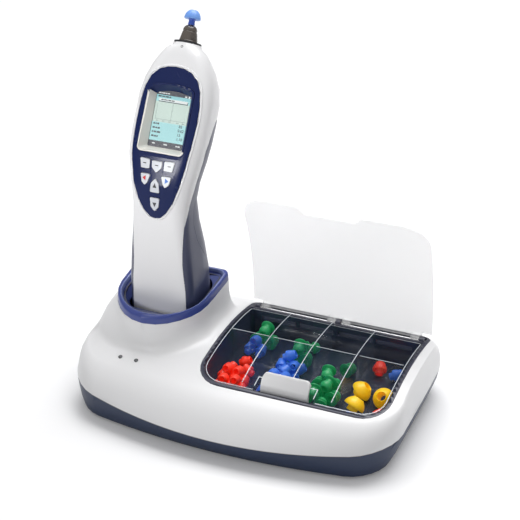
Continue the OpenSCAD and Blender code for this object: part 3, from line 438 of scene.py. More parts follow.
# %% [markdown]
# ## Soft silicone
# The ear tips are soft silicone: saturated colour, a faint sheen, and a faint bloom of
# dust where they rub together. One group makes the bloom for all the colours. Light
# passes through soft silicone, and a weak glow of its own colour stands for that.

# %% Silicone and its bloom
silicone_bloom, given, result = new_group(
    "silicone_bloom",
    [("Color In", colour, (0.5, 0.1, 0.1, 1)), ("Bloom", value, 0.12)],
    [("Color", colour), ("Roughness", value), ("Height", value)],
)
where = silicone_bloom.nodes.new("ShaderNodeTexCoord").outputs["Object"]
patches = noise(silicone_bloom, where, 160.0, 5.0, 0.8)
strength = maths(silicone_bloom, "MULTIPLY", patches, given.outputs["Bloom"])
mix = silicone_bloom.nodes.new("ShaderNodeMix")
mix.data_type = "RGBA"
mix.inputs["B"].default_value = (0.8, 0.8, 0.8, 1)
silicone_bloom.links.new(strength, mix.inputs["Factor"])
silicone_bloom.links.new(given.outputs["Color In"], mix.inputs["A"])
silicone_bloom.links.new(mix.outputs["Result"], result.inputs["Color"])
dull = maths(silicone_bloom, "MULTIPLY_ADD", patches, 0.25, 0.25)
silicone_bloom.links.new(dull, result.inputs["Roughness"])
silicone_bloom.links.new(noise(silicone_bloom, where, 700.0), result.inputs["Height"])


def silicone(name, rgb, bloom=0.03):
    """A soft silicone of this linear colour, with as much bloom."""
    material, shader, surface = fed_material(name, silicone_bloom, rgb)
    surface.inputs["Bloom"].default_value = bloom
    feed(material.node_tree, surface, shader, 0.2, 0.05 * mm)
    shader.inputs["Sheen Weight"].default_value = 0.04
    # painted glow: emission in the silicone's own colour stands for light passing through it
    shader.inputs["Emission Color"].default_value = (*rgb, 1)
    shader.inputs["Emission Strength"].default_value = 0.14
    return material


red_silicone = silicone("red_silicone", (0.95, 0.03, 0.006))
green_silicone = silicone("green_silicone", (0.008, 0.33, 0.1))
blue_silicone = silicone("blue_silicone", (0.03, 0.15, 0.66))
yellow_silicone = silicone("yellow_silicone", (1.0, 0.62, 0.004), 0.02)
worn_silicone = silicone("worn_silicone", (0.1, 0.26, 0.66), 0.12)
# painted shade: a darker blue for the stem under the dome of the probe's tip
shaded_stem_silicone = silicone("shaded_stem_silicone", (0.025, 0.075, 0.38))

# %% [markdown]
# ## Shells, cradle and tray
# These nodes have the right shape. Their skins are merged and shaded by angle, and each
# gets its own finish. Small hidden parts keep their node and only change their finish.

# %% Skins of the large parts
skins = [
    ("base_top_shell", white_base, "white_shell"), ("base_bottom_shell", navy_base, "navy_shell"),
    ("cradle_collar", collar_blue, "collar_blue"), ("cradle_cup", cup_navy, "navy_shell"),
    ("handset_front_shell", white_handset, "white_shell"),
    ("handset_rear_shell", navy_handset, "navy_shell"),
    ("battery_cover", navy_handset, "navy_shell"),
    ("display_panel", navy_panel, "navy_shell"), ("display_frame", silver_paint, "bezel"),
    ("probe_body", navy_handset, "navy_shell"), ("tip_well", well_navy, "navy_shell"),
    ("lid", lid_frost, "frosted_plastic"),
]
skin = {}
for node, material, slot in skins:
    skin[node] = finished(skin_of(node), node + "_skin", body_of[node], material, [node], 30)

# %% Silver at the left and foot of the display, navy as painted shade at the top and right
screen_h = 14
screen_place = on_head @ along(screen_h)
to_screen = screen_place.inverted()
bezel = skin["display_frame"]
# painted shade: the top and right walls of the frame get the navy of the panel
bezel.data.materials.append(navy_panel)
painted_shade_top, painted_shade_side, painted_shade_foot = 21.5 * mm, 14.5 * mm, -24 * mm


def in_painted_shade(centre, normal):
    spot = to_screen @ centre
    return spot.z > painted_shade_top or (spot.x > painted_shade_side and spot.z > painted_shade_foot)


pick_faces(bezel, in_painted_shade)
second_finish(bezel)

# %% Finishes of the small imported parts
finish_of = {
    "rubber_feet": foot_rubber, "base_screws": bright_steel, "handset_screws": bright_steel,
    "hinge_pin": bright_steel, "latch_pin": bright_steel, "latch_spring": bright_steel,
    "charge_contacts": plated_brass, "handset_contacts": plated_brass, "charge_board": board_green,
    "main_board": board_green, "power_inlet": dark_plastic, "data_socket": grey_plastic,
    "display_window": glass, "lcd_module": dark_plastic, "keypad_mat": dark_plastic,
    "battery_pack": grey_plastic, "air_pump": grey_plastic, "pump_tube": grey_plastic,
    "nose_ring": dark_plastic,
}
for node, material in finish_of.items():
    data = nodes[node].data
    data.materials.clear()
    data.materials.append(material)
print("finished", len(finish_of), "packed parts in place")

# %% [markdown]
# ## The rim round the panel
# A low white rim frames the navy panel, and catches a thin highlight all round. It is a
# ring through the corners of the panel's outline, made smooth as a curve, laid on
# the shell by projection, and given a round section.

# %% Panel rim
half_outline = [
    (0, -31.6), (5.4, -30.4), (11.2, -24.6), (17.4, -14.4), (22.4, -0.3), (26, 15.8),
    (28.2, 32), (29, 48), (28.6, 62), (26.5, 74.4), (22.3, 82.8), (15.5, 88.5), (7.7, 91),
    (0, 91.6),
]
outline = half_outline + [(-x, z) for x, z in reversed(half_outline[1:-1])]
rim_section = 0.75 * mm
start_y = -80 * mm
bpy.ops.object.select_all(action="DESELECT")
bpy.ops.mesh.primitive_circle_add(vertices=len(outline), radius=0.03)
rim = bpy.context.object
for vertex, (x, z) in zip(rim.data.vertices, outline):
    vertex.co = ((handset_x + x) * mm, start_y, (pad_z + z) * mm)
bpy.ops.object.convert(target="CURVE")
bpy.ops.object.mode_set(mode="EDIT")
bpy.ops.curve.select_all(action="SELECT")
bpy.ops.curve.spline_type_set(type="BEZIER")
bpy.ops.curve.handle_type_set(type="AUTOMATIC")
bpy.ops.object.mode_set(mode="OBJECT")
rim.data.resolution_u = 6
bpy.ops.object.convert(target="MESH")
rim = bpy.context.object
shaped(rim, "SHRINKWRAP", target=skin["handset_front_shell"], wrap_method="PROJECT",
       use_project_y=True, use_positive_direction=True, use_negative_direction=False)
only(rim)
bpy.ops.object.convert(target="CURVE")
bpy.context.object.data.bevel_depth = rim_section
bpy.context.object.data.bevel_resolution = 3
bpy.ops.object.convert(target="MESH")
finished(bpy.context.object, "panel_rim", "handset", white_handset, (), 60)

# %% [markdown]
# ## The ledge inside the collar
# Inside its edge the collar steps down to a sloping ledge that ends close to the grip. It is
# deepest in front, where only the dark line under the edge shows. The funnel of the cup already
# joins both outlines, so a copy of its inner faces is lifted, widened at the top to meet the
# collar, and given a wall. The inner edge of the collar gets a paler blue, a painted highlight
# where it catches the light.

# %% Collar ledge
collar_slope = math.radians(5.4)
collar_front_y, collar_front_h = -28.5, 78.2
cup_x, cup_y = handset_x, 15.5
funnel_foot, funnel_top_drop = 60, 3
ledge_top, ledge_foot, ledge_wall = 4.4, -1.9, 0.7
grow_top, grow_foot = (1.065, 1.05, 1), (1.02, 1.02, 1)


def collar_foot(y):
    """Height of the foot of the collar, which rises to the back."""
    return collar_front_h + math.tan(collar_slope) * (y - collar_front_y)


def faces_in(centre, normal):
    """Tells if a face looks towards the upright axis of the cup."""
    return (cup_x * mm - centre.x) * normal.x + (cup_y * mm - centre.y) * normal.y > 0


def funnel_face(centre, normal):
    height = centre.z / mm
    top = collar_foot(centre.y / mm) - funnel_top_drop
    return faces_in(centre, normal) and funnel_foot + 0.5 < height < top - 0.2


def pick_points(piece, wanted):
    """Selects the vertices that pass the test and enters edit mode."""
    bpy.ops.object.mode_set(mode="EDIT")
    bpy.ops.mesh.select_mode(type="VERT")
    bpy.ops.mesh.select_all(action="DESELECT")
    bpy.ops.object.mode_set(mode="OBJECT")
    for vertex in piece.data.vertices:
        vertex.select = wanted(vertex.co / mm)
    bpy.ops.object.mode_set(mode="EDIT")


ledge = skin_of("cradle_cup")
pick_faces(ledge, funnel_face)
bpy.ops.mesh.select_all(action="INVERT")
bpy.ops.mesh.delete(type="FACE")
pick_points(ledge, lambda point: point.z > funnel_foot + 2)
pivot = (cup_x * mm, cup_y * mm, funnel_foot * mm)
bpy.ops.transform.translate(value=(0, 0, (funnel_top_drop + ledge_top) * mm))
bpy.ops.transform.resize(value=grow_top, center_override=pivot)
bpy.ops.mesh.select_all(action="INVERT")
bpy.ops.transform.rotate(value=-2 * collar_slope, orient_axis="X", center_override=pivot)
bpy.ops.transform.resize(value=grow_foot, center_override=pivot)
rise = collar_foot(cup_y) + ledge_foot - funnel_foot
bpy.ops.transform.translate(value=(0, 0, rise * mm))
bpy.ops.object.mode_set(mode="OBJECT")
heights = [v.co.z / mm - collar_foot(v.co.y / mm) for v in ledge.data.vertices]
print("ledge lies", min(heights), "to", max(heights), "mm over the foot of the collar")
shaped(ledge, "SOLIDIFY", thickness=ledge_wall * mm, offset=-1)
finished(ledge, "collar_ledge", "base", ledge_blue, (), 30)

# %% Painted highlight on the inner edge of the collar
edge = skin["cradle_collar"]
edge.data.materials.append(highlight_blue)
# painted highlight: the upward, inward faces of the collar get the paler blue
pick_faces(edge, lambda centre, normal: faces_in(centre, normal) and normal.z > 0.25)
second_finish(edge)

# %% [markdown]
# ## The clear insert
# Clear plastic shows its edges more than its walls, because light gathers in the cut edge. That
# light is painted: the skin of the insert gets two finishes, faint walls and a painted highlight
# on the top edges, picked by their direction and inset, so that only a fine line along them is
# bright.

# %% Insert with painted highlights on its top edges
insert = skin_of("tip_tray")
insert.data.materials.clear()
insert.data.materials.append(tray_clear)
insert.data.materials.append(tray_edge_highlight)
above_floor = 34 * mm
edge_margin = 0.55 * mm
# painted highlight: the top edges get the pale second finish
pick_faces(insert, lambda centre, normal: normal.z > 0.6 and centre.z > above_floor)
bpy.ops.mesh.inset(thickness=edge_margin, use_even_offset=True, use_boundary=True)
second_finish(insert)
finished(insert, "tip_tray_skin", "tray", None, ["tip_tray"], 30)

# %% [markdown]
# ## The finger latch
# The latch is a milky moulding with soft edges, so its skin gets a small bevel on every
# sharp edge before it is smoothed.

# %% Latch with soft edges
latch = skin_of("lid_latch")
shaped(latch, "BEVEL", width=0.45 * mm, segments=2, limit_method="ANGLE",
       angle_limit=math.radians(40))
finished(latch, "lid_latch_skin", "latch", milky_plastic, ["lid_latch"], 50)

# %% [markdown]
# ## Keys
# Each key is a grey-white cap with a bright rounded edge that stands proud of the panel.
# The skin of each key is bevelled.

# %% Bevelled key caps
key_names = [
    "key_left_soft", "key_menu", "key_right_soft", "key_left", "key_right", "key_up", "key_down",
]
for node in key_names:
    key_cap = skin_of(node)
    shaped(key_cap, "BEVEL", width=0.4 * mm, segments=3, limit_method="ANGLE",
           angle_limit=math.radians(50))
    skin[node] = finished(key_cap, node + "_cap", node, key_plastic, [node], 55)

# %% [markdown]
# ## Signs printed on the keys
# The side keys carry a red and a blue triangle, the upper and lower keys dark triangles,
# and the top row short dark dashes. A sign is a flat shape in the keypad's frame. It is cut
# finely and projected on its key, so that it follows the crown of the cap.

# %% Printing a sign on a key
def ink(name, rgb):
    return plastic(name, rgb, 0.5, size=1400, depth=0.2, tone=0.15)


ink_dark = ink("ink_dark", (0.035, 0.035, 0.04))
ink_red = ink("ink_red", (0.55, 0.02, 0.02))
ink_blue = ink("ink_blue", (0.035, 0.17, 0.6))
before_keys, ink_height = 6, 0.04


def printed(name, key, place, corners, width, height, angle, material):
    """Projects a flat sign on a key. place is across and up the keypad, in millimetres."""
    bpy.ops.object.select_all(action="DESELECT")
    bpy.ops.mesh.primitive_circle_add(vertices=corners, radius=1.0, fill_type="TRIFAN")
    sign = bpy.context.object
    if corners == 4:
        sign.rotation_euler = (0, 0, math.pi / 4)
    settle(sign)
    sign.scale = (width * mm / 2, height * mm / 2, 1)
    settle(sign)
    bpy.ops.object.mode_set(mode="EDIT")
    bpy.ops.mesh.subdivide(number_cuts=3)
    bpy.ops.object.mode_set(mode="OBJECT")
    upright = Matrix.Rotation(math.pi / 2, 4, "X")
    sign.data.transform(Matrix.Rotation(math.radians(angle), 4, "Y") @ upright)
    x, z = place
    sign.matrix_world = on_pad @ Matrix.Translation((x * mm, -before_keys * mm, z * mm))
    shaped(sign, "SHRINKWRAP", target=skin[key], wrap_method="PROJECT", use_project_y=True,
           use_positive_direction=True, use_negative_direction=False, offset=ink_height * mm)
    finished(sign, name, key, material, (), 0)


printed("sign_left", "key_left", (-10.2, 6), 3, 5.2, 4.4, -90, ink_red)
printed("sign_right", "key_right", (10.2, 6), 3, 5.2, 4.4, 90, ink_blue)
printed("sign_up", "key_up", (0, 0.2), 3, 4.2, 5.6, 0, ink_dark)
printed("sign_down", "key_down", (0, -16.2), 3, 4.2, 5.6, 180, ink_dark)
printed("sign_menu", "key_menu", (0, 18), 4, 4.2, 1.1, 0, ink_dark)
printed("sign_soft_left", "key_left_soft", (-11.6, 18.6), 4, 4.0, 1.1, 0, ink_dark)
printed("sign_soft_right", "key_right_soft", (11.6, 18.6), 4, 4.0, 1.1, 0, ink_dark)

# %% [markdown]
# ## The lit screen
# The screen is drawn as thin bars just behind the glass, each lit in its own colour. Bars
# keep sharp edges from any distance. A pixel grid in the material breaks the colour up.
# The picture is a generic test screen: a title, a plot with cross lines, four rows of
# readings and three soft-key labels.

# %% Lit colours with a pixel grid
lit_pixels, given, result = new_group(
    "lit_pixels",
    [("Color In", colour, (0.5, 0.5, 0.5, 1)), ("Gap", value, 0.12)],
    [("Color", colour)],
)
spot = lit_pixels.nodes.new("ShaderNodeTexCoord").outputs["Object"]
split = lit_pixels.nodes.new("ShaderNodeSeparateXYZ")
lit_pixels.links.new(spot, split.inputs[0])
pixel = 0.2 * mm
lines = []
for axis in ("X", "Z"):
    phase = maths(lit_pixels, "MULTIPLY", split.outputs[axis], 2 * math.pi / pixel)
    wave = maths(lit_pixels, "SINE", phase)
    lines.append(maths(lit_pixels, "MULTIPLY", wave, given.outputs["Gap"]))
grid = maths(lit_pixels, "ADD", lines[0], lines[1])
patch = noise(lit_pixels, spot, 40.0, 2.0)
glow = maths(lit_pixels, "ADD", maths(lit_pixels, "MULTIPLY_ADD", patch, 0.16, 0.92), grid)
shade = lit_pixels.nodes.new("ShaderNodeHueSaturation")
lit_pixels.links.new(glow, shade.inputs["Value"])
lit_pixels.links.new(given.outputs["Color In"], shade.inputs["Color"])
lit_pixels.links.new(shade.outputs["Color"], result.inputs["Color"])


def lit(name, rgb, strength=0.95):
    """A colour of the screen, lit from behind."""
    material, shader, surface = fed_material(name, lit_pixels, rgb)
    material.node_tree.links.new(surface.outputs["Color"], shader.inputs["Emission Color"])
    shader.inputs["Base Color"].default_value = (0.02, 0.02, 0.024, 1)
    shader.inputs["Emission Strength"].default_value = strength
    shader.inputs["Roughness"].default_value = 0.5
    return material


screen_dark = lit("screen_dark", (0.03, 0.028, 0.045), 0.5)
screen_cyan = lit("screen_cyan", (0.37, 0.73, 0.74))
screen_band = lit("screen_band", (0.26, 0.62, 0.66))
screen_plot = lit("screen_plot", (0.58, 0.72, 0.64))
screen_white = lit("screen_white", (0.8, 0.84, 0.82))
screen_text = lit("screen_text", (0.03, 0.09, 0.11), 0.2)
screen_grey = lit("screen_grey", (0.22, 0.33, 0.29), 0.8)

# %% Drawing with bars
ground_at, field_at, plot_at, front_at = 7.32, 7.335, 7.35, 7.365


def bars(name, layer, material, boxes, rounding=0.12):
    """Bars (left, right, bottom, top), this far before the axis of the head; all in mm."""
    made = []
    for x0, x1, z0, z1 in boxes:
        bpy.ops.object.select_all(action="DESELECT")
        bpy.ops.mesh.primitive_plane_add(size=1, rotation=(math.pi / 2, 0, 0))
        bar = bpy.context.object
        bar.location = ((x0 + x1) / 2 * mm, -layer * mm, (z0 + z1) / 2 * mm)
        bar.scale = ((x1 - x0) * mm, (z1 - z0) * mm, 1)
        settle(bar)
        bpy.ops.object.mode_set(mode="EDIT")
        bpy.ops.mesh.select_all(action="SELECT")
        corner = min(rounding, (x1 - x0) / 3, (z1 - z0) / 3) * mm
        bpy.ops.mesh.bevel(offset=corner, segments=2, affect="VERTICES")
        bpy.ops.object.mode_set(mode="OBJECT")
        made.append(bar)
    piece = joined(name, made)
    piece.matrix_world = screen_place @ piece.matrix_world
    finished(piece, name, "handset", material, (), 0)


def words(x, z, widths, height=1.0):
    """Short bars that stand for words, from left to right."""
    row = []
    for width in widths:
        row.append((x, x + width, z - height / 2, z + height / 2))
        x += width + 0.45
    return row


field_left, field_right = -16.2, 15.9
bars("screen_ground", ground_at, screen_dark, [(-17.4, 17.4, -25.4, 24.8)])
bars("screen_field", field_at, screen_cyan, [(field_left, field_right, -19.2, 20.4)])
bars("screen_title_band", plot_at, screen_band, [(field_left, field_right, 17.9, 20.4)])
bars("screen_plot_field", plot_at, screen_plot, [(field_left, field_right, -3.0, 14.6)])
bars("screen_label", plot_at, screen_white, [(-13.6, 13.4, 15.2, 17.4)])
label_shadow = [(-13.6, 14, 14.4, 15.1), (13.4, 14, 14.4, 17.0)]
bars("screen_label_shadow", front_at, screen_text, label_shadow)
plot_lines = [
    (-14.1, -13.8, -0.4, 13.2), (-14.1, 14.2, -0.6, -0.3), (0.4, 0.7, -1.6, 13.8),
    (-0.6, 1.6, 7.4, 7.7),
]
bars("screen_plot_lines", front_at, screen_grey, plot_lines, 0.02)
ticks = []
for x in (-12.8, -7, -1, 6.5, 11.8):
    ticks += words(x, -1.9, (0.8, 0.6), 0.9)
bars("screen_ticks", front_at, screen_grey, ticks)
rows = words(-14.8, 19.1, (3.2, 2.6, 3.4, 1.6), 1.2)
rows += words(-11.4, 16.3, (2.2, 2.6, 0.8, 2.4, 2.8), 0.9)
row_words = (
    (-4.6, (1.6, 1.2, 1.8)), (-8.2, (2.2, 1.6, 2.2)), (-11.8, (1.2, 2.6, 3.2)),
    (-15.4, (2.4, 1.8, 1.2)),
)
for z, widths in row_words:
    rows += words(-14.8, z, widths, 1.5)
bars("screen_words", front_at, screen_text, rows)
labels = words(-14.6, 22.0, (1.8, 1.0, 2.2, 1.4, 2.0), 0.9)
for x, widths in ((-12.6, (2.6,)), (-1.8, (3.4,)), (9.6, (1.4, 2.2))):
    labels += words(x, -21.6, widths)
labels += words(10.2, 21.3, (1.8,), 1.2) + [(13.4, 14.9, 20.3, 22.3)]
bars("screen_labels", plot_at, screen_white, labels)

# %% Numbers on the screen
def number(text, x, z, size=3.3):
    """Figures on the screen, ending at x."""
    bpy.ops.object.select_all(action="DESELECT")
    bpy.ops.object.text_add(rotation=(math.pi / 2, 0, 0))
    line = bpy.context.object
    line.data.body = text
    line.data.size = size * mm
    line.data.offset = 0.07 * mm
    line.data.align_x = "RIGHT"
    line.location = (x * mm, -front_at * mm, z * mm)
    bpy.ops.object.convert(target="MESH")
    return settle(bpy.context.object)


figures = [("85", 12.6, -5.6), ("0.62", 14.6, -9.2), ("15", 12.2, -12.8), ("1.10", 14.6, -16.4)]
readings = joined("screen_readings", [number(*figure) for figure in figures])
readings.matrix_world = screen_place @ readings.matrix_world
finished(readings, "screen_readings", "handset", screen_text, (), 0)

# %% [markdown]
# ## The probe
# The cap of the probe is a smoky turned cone with a foot flange and a groove where its crown
# begins. Short thread ridges show on its side. The ear tip is a soft mushroom on a narrow stem,
# and the stem is painted a darker blue as painted shade under the dome.

# %% Probe cap, turned and ribbed
cap_at = head_len + 1.6
cap_h = 15
cap_place = on_head @ along(cap_at)
cap = turned([
    (1.85, 0.05), (7.9, 0.05), (8.3, 0.35), (8.3, 1.0), (7.95, 1.35), (7.85, 1.8),
    (7.3, 4.4), (6.75, 7.0), (6.35, 8.9), (6.0, 9.15), (5.95, 9.7), (6.3, 9.95),
    (6.2, 10.9), (5.8, 12.1), (5.1, 13.3), (4.2, 14.2), (3.1, 14.75), (1.95, 14.95),
    (1.85, 14.8), (1.85, 7),
], 48)
shaped(cap, "BEVEL", width=0.12 * mm, segments=1, limit_method="ANGLE",
       angle_limit=math.radians(40))
ribs = []
for height in (2.6, 3.9, 5.2, 6.5, 7.7):
    radius = 7.75 - (height - 1.8) * 0.21
    bpy.ops.object.select_all(action="DESELECT")
    bpy.ops.mesh.primitive_torus_add(
        major_radius=radius * mm, minor_radius=0.42 * mm, major_segments=40, minor_segments=8)
    ridge = bpy.context.object
    pick_faces(ridge, lambda centre, normal: centre.x < 0.55 * radius * mm)
    bpy.ops.mesh.delete(type="FACE")
    bpy.ops.mesh.select_mode(type="EDGE")
    bpy.ops.mesh.select_non_manifold()
    bpy.ops.mesh.fill()
    bpy.ops.object.mode_set(mode="OBJECT")
    ridge.data.transform(along(height))
    ribs.append(ridge)
cap = joined("probe_cap_turned", [cap] + ribs)
cap.matrix_world = cap_place @ cap.matrix_world
finished(cap, "probe_cap_turned", "handset", smoky_plastic, ["probe_cap"])

# %% Ear tip on the probe
tip = turned([
    (2.1, 0.3), (2.35, 0.0), (2.9, 0.0), (3.1, 0.3), (3.0, 1.2), (2.75, 2.0), (2.7, 3.8),
    (3.0, 4.9), (3.9, 5.35), (5.4, 5.2), (6.5, 4.95), (6.95, 5.0), (7.2, 5.4), (7.22, 6.1),
    (7.0, 7.4), (6.5, 8.9), (5.8, 10.2), (4.9, 11.4), (4.0, 12.3), (3.1, 12.85),
    (2.5, 12.95), (2.2, 12.7), (2.1, 11.9), (2.1, 5),
], 48)
stem_h, stem_r = 5.3 * mm, 3.6 * mm
tip.data.materials.append(worn_silicone)
# painted shade: the stem faces under the dome get the darker blue
tip.data.materials.append(shaded_stem_silicone)
pick_faces(tip, lambda centre, normal: centre.z < stem_h and centre.xy.length < stem_r)
second_finish(tip)
tip.matrix_world = on_head @ along(cap_at + cap_h + 0.2)
finished(tip, "ear_tip_soft", "ear_tip", None, ["ear_tip"], 60)

# %% [markdown]
# ## Ear tips in the tray
# The tips are two mouldings in several sizes: an umbrella on a hollow stem, and a flanged
# plug. Each is turned once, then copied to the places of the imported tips, some side
# by side and some in the hollows between them. Six more blue ones lie on and by those.

# %% The two mouldings
def stem_radius(d):
    return d * 0.17 + 1.6


def umbrella_tip(d, h):
    """An umbrella of this diameter and height, its brim turned down over a stem."""
    s, r = stem_radius(d), d / 2
    return turned([
        (s - 1, 0.25), (s - 0.75, 0), (s - 0.2, 0), (s, 0.25), (s - 0.12, h * 0.16),
        (s, h * 0.36), (s + 0.7, h * 0.42), (r - 1.6, h * 0.35), (r - 0.7, h * 0.3),
        (r - 0.2, h * 0.31), (r, h * 0.37), (r * 0.985, h * 0.46), (r * 0.94, h * 0.57),
        (r * 0.86, h * 0.68), (r * 0.75, h * 0.79), (s + 0.55, h * 0.92),
        (s - 0.1, h * 0.98), (s - 0.6, h), (s - 1, h * 0.97), (s - 1, h * 0.5),
    ], 24)


def flanged_tip(d, h):
    """A plug of this diameter and height, with a flat flange at its foot."""
    s, r = stem_radius(d), d / 2
    return turned([
        (s - 1, 0.2), (s - 0.7, 0), (r - 0.4, 0), (r, 0.3), (r, 0.9), (r - 0.5, 1.25),
        (s + 0.3, 1.6), (s, 2.2), (s - 0.1, h * 0.34), (s, h * 0.48), (s + 1.2, h * 0.52),
        (s + 1.6, h * 0.57), (s + 1.5, h * 0.68), (s + 1.2, h * 0.81), (s + 0.5, h * 0.92),
        (s - 0.2, h * 0.98), (s - 0.7, h), (s - 1, h * 0.96), (s - 1, h * 0.5),
    ], 24)


# %% Laying tips in the insert
tray_floor_h = 27.0
column = [-10.3, 30.25, 70.75, 112.8]
front_y, rear_y = -49.8, 19.9


def lying(d, h, flanged, place, spin, lift=0.0):
    """Place of a tip that lies on its stem end and its rim."""
    s = stem_radius(d)
    rim_r, end_r, rim_h = (s + 1.35, d / 2, h * 0.8) if flanged else (d / 2, s, h * 0.36)
    lean_in = math.atan((rim_r - end_r) / rim_h)
    x, y = place
    spot = Matrix.Translation((x * mm, y * mm, (tray_floor_h + 0.2) * mm))
    raised = Matrix.Translation((-h / 2 * mm, 0, (end_r * math.cos(lean_in) + lift) * mm))
    turned_down = Matrix.Rotation(math.pi / 2 - lean_in, 4, "Y")
    return spot @ Matrix.Rotation(math.radians(spin), 4, "Z") @ raised @ turned_down


def heap(d, h, flanged, at, count):
    """Places of tips side by side, with more in the hollows between them."""
    pitch = d + 0.6
    rise = math.sqrt(d * d - pitch * pitch / 4) - (1.25 if flanged else 0.15)
    x, y, spin = at
    ground = Matrix.Translation((x * mm, y * mm, 0))
    ground = ground @ Matrix.Rotation(math.radians(spin), 4, "Z")

    def row(many, turned_by, raised_by):
        steps = [(i - (many - 1) / 2) * pitch for i in range(many)]
        return [lying(d, h, flanged, (0, step), turned_by, raised_by) for step in steps]

    return [ground @ place for place in row(count, 0, 0.0) + row(count - 1, 180, rise)]


def scattered(d, h, flanged, spots):
    return [lying(d, h, flanged, (x, y), spin) for x, y, spin in spots]


def laid(name, moulds_and_places, material, node):
    """Copies each mould to its places and joins the copies in one piece."""
    made = []
    for mould, places in moulds_and_places:
        made += [copied(mould, place) for place in places]
        bpy.data.objects.remove(mould)
    piece = joined(name, made)
    finished(piece, name, "tray", material, [node], 60)


# %% The red tips
red_size, large_red_size = (10, 11), (13, 12)
red_places = heap(*red_size, False, (column[0] + 1.5, front_y + 15.5, 98), 3)
red_places += heap(*red_size, False, (column[0] - 1, front_y + 31, 82), 3)
red_places += scattered(*red_size, False, [
    (column[0] - 9, front_y + 45.5, 70), (column[0] + 6, front_y + 47, 160),
    (column[0] - 1, front_y + 60, 10), (column[3] + 12, front_y + 25, 60),
])
red_large = scattered(*large_red_size, False, [(column[3] - 9, rear_y + 24, 100)])
red_moulds = [(umbrella_tip(*red_size), red_places), (umbrella_tip(*large_red_size), red_large)]
laid("red_tips", red_moulds, red_silicone, "tips_red")

# %% The blue tips, with six more in the second column
blue_size = (10.5, 12)
blue_places = heap(*blue_size, False, (column[1] + 1, front_y + 20.5, 94), 3)
blue_places += heap(*blue_size, False, (column[1] - 0.5, front_y + 36, 84), 3)
blue_places += heap(*blue_size, False, (column[0] - 1, rear_y + 12, 84), 2)
blue_places += scattered(*blue_size, False, [
    (column[1] - 9, front_y + 51, 30), (column[1] + 7, front_y + 51, -40),
    (column[1] - 1, front_y + 60, 85), (column[3] - 10, front_y + 9.5, 130),
    (column[3] + 6, front_y + 9, 20), (column[3] + 8, rear_y + 20, 15),
])
more_blue = (
    (-5, 54, 100, 8.6), (6, 55, -75, 9), (0.5, 46, 60, 8.2), (8, 66, 20, 0), (-8, 66, 150, 0),
    (1, 60, 15, 16),
)
for x, y, spin, lift in more_blue:
    blue_places.append(lying(*blue_size, False, (column[1] + x, front_y + y), spin, lift))
laid("blue_tips", [(umbrella_tip(*blue_size), blue_places)], blue_silicone,
     "tips_blue")

# %% The green tips
green_size = (13, 12)
green_heaps = (
    (column[2] - 3.5, front_y + 20.5, 100), (column[2] + 3.5, front_y + 37, 80),
    (column[2] - 2, front_y + 53, 97), (column[1], rear_y + 14, 96),
    (column[0] + 1, rear_y + 31, 88),
)
green_places = []
for at in green_heaps:
    green_places += heap(*green_size, True, at, 2)
green_places += scattered(*green_size, True, [
    (column[1] + 6, rear_y + 34, 40), (column[2] + 8, rear_y + 13, 70),
])
laid("green_tips", [(flanged_tip(*green_size), green_places)], green_silicone,
     "tips_green")

# %% The yellow tips
yellow_size = (19, 13)
yellow_places = scattered(*yellow_size, False, [
    (column[3] - 9, front_y + 30, 60), (column[3] + 9, front_y + 45, -95),
    (column[3] - 9.5, front_y + 52, 20),
])
laid("yellow_tips", [(umbrella_tip(*yellow_size), yellow_places)], yellow_silicone,
     "tips_yellow")

# %% [markdown]
# ## Status lights
# Two small lights sit in the deck in front of the cradle, each a dark domed lens in a
# narrow ring. They lean with the arch of the deck.

# %% Lenses and rings
light_x, light_y = (-107.0, -91.5), -49.0
deck_h, deck_arch_r, crown_y = 58, 250, 18
arch = math.asin((crown_y - light_y) / deck_arch_r)
deck_at_light = deck_h - deck_arch_r + deck_arch_r * math.cos(arch)
lens = turned([
    (0.05, -3), (1.5, -3), (1.55, -0.4), (1.9, 0.02), (1.95, 0.16), (1.7, 0.26),
    (1.5, 0.2), (1.4, 0.12), (1.2, 0.3), (0.8, 0.42), (0.4, 0.47), (0.05, 0.48),
], 24)
lights = []
for x in light_x:
    place = Matrix.Translation((x * mm, light_y * mm, deck_at_light * mm))
    lights.append(copied(lens, place @ Matrix.Rotation(arch, 4, "X")))
bpy.data.objects.remove(lens)
finished(joined("status_lenses", lights), "status_lenses", "base", lens_grey,
         ["status_lights"])

# %% [markdown]
# ## The pinhole on the nose
# A small dark pinhole marks the front of the nose, under the tip. Its place is found on
# the shell itself, and it stands along the normal there.

# %% Nose pinhole
nose = nodes["handset_front_shell"].data
shape = BVHTree.FromPolygons([v.co for v in nose.vertices], [p.vertices for p in nose.polygons])
near_nose = on_head @ Vector((1 * mm, -13 * mm, 77 * mm))
spot, facing = shape.find_nearest(near_nose)[:2]
pinhole = turned([
    (0.2, -0.5), (1.1, -0.5), (1.15, 0.05), (0.95, 0.12), (0.6, 0.0), (0.3, -0.12),
    (0.2, -0.2),
], 24)
outward = facing.to_track_quat("Z", "Y").to_matrix().to_4x4()
pinhole.matrix_world = Matrix.Translation(spot) @ outward
finished(pinhole, "nose_pinhole", "handset", dark_plastic)

# %% [markdown]
# ## Floor, light and background
# The photograph has a white ground with a soft shadow. The floor is pale, and only the
# camera and light that passed clear plastic see it lifted to white, more so far away. The
# main light is a large soft box overhead and behind, and the sky is brighter overhead
# than at the horizon, so decks are bright and front faces fall to a light grey. A small
# box with a narrow beam lights the front of the handset.

# %% Floor
def seen_directly(tree):
    """One for rays of the camera and rays that passed clear plastic, zero for others."""
    rays = tree.nodes.new("ShaderNodeLightPath")
    camera_ray, passed = rays.outputs["Is Camera Ray"], rays.outputs["Is Transmission Ray"]
    return maths(tree, "MAXIMUM", camera_ray, passed)


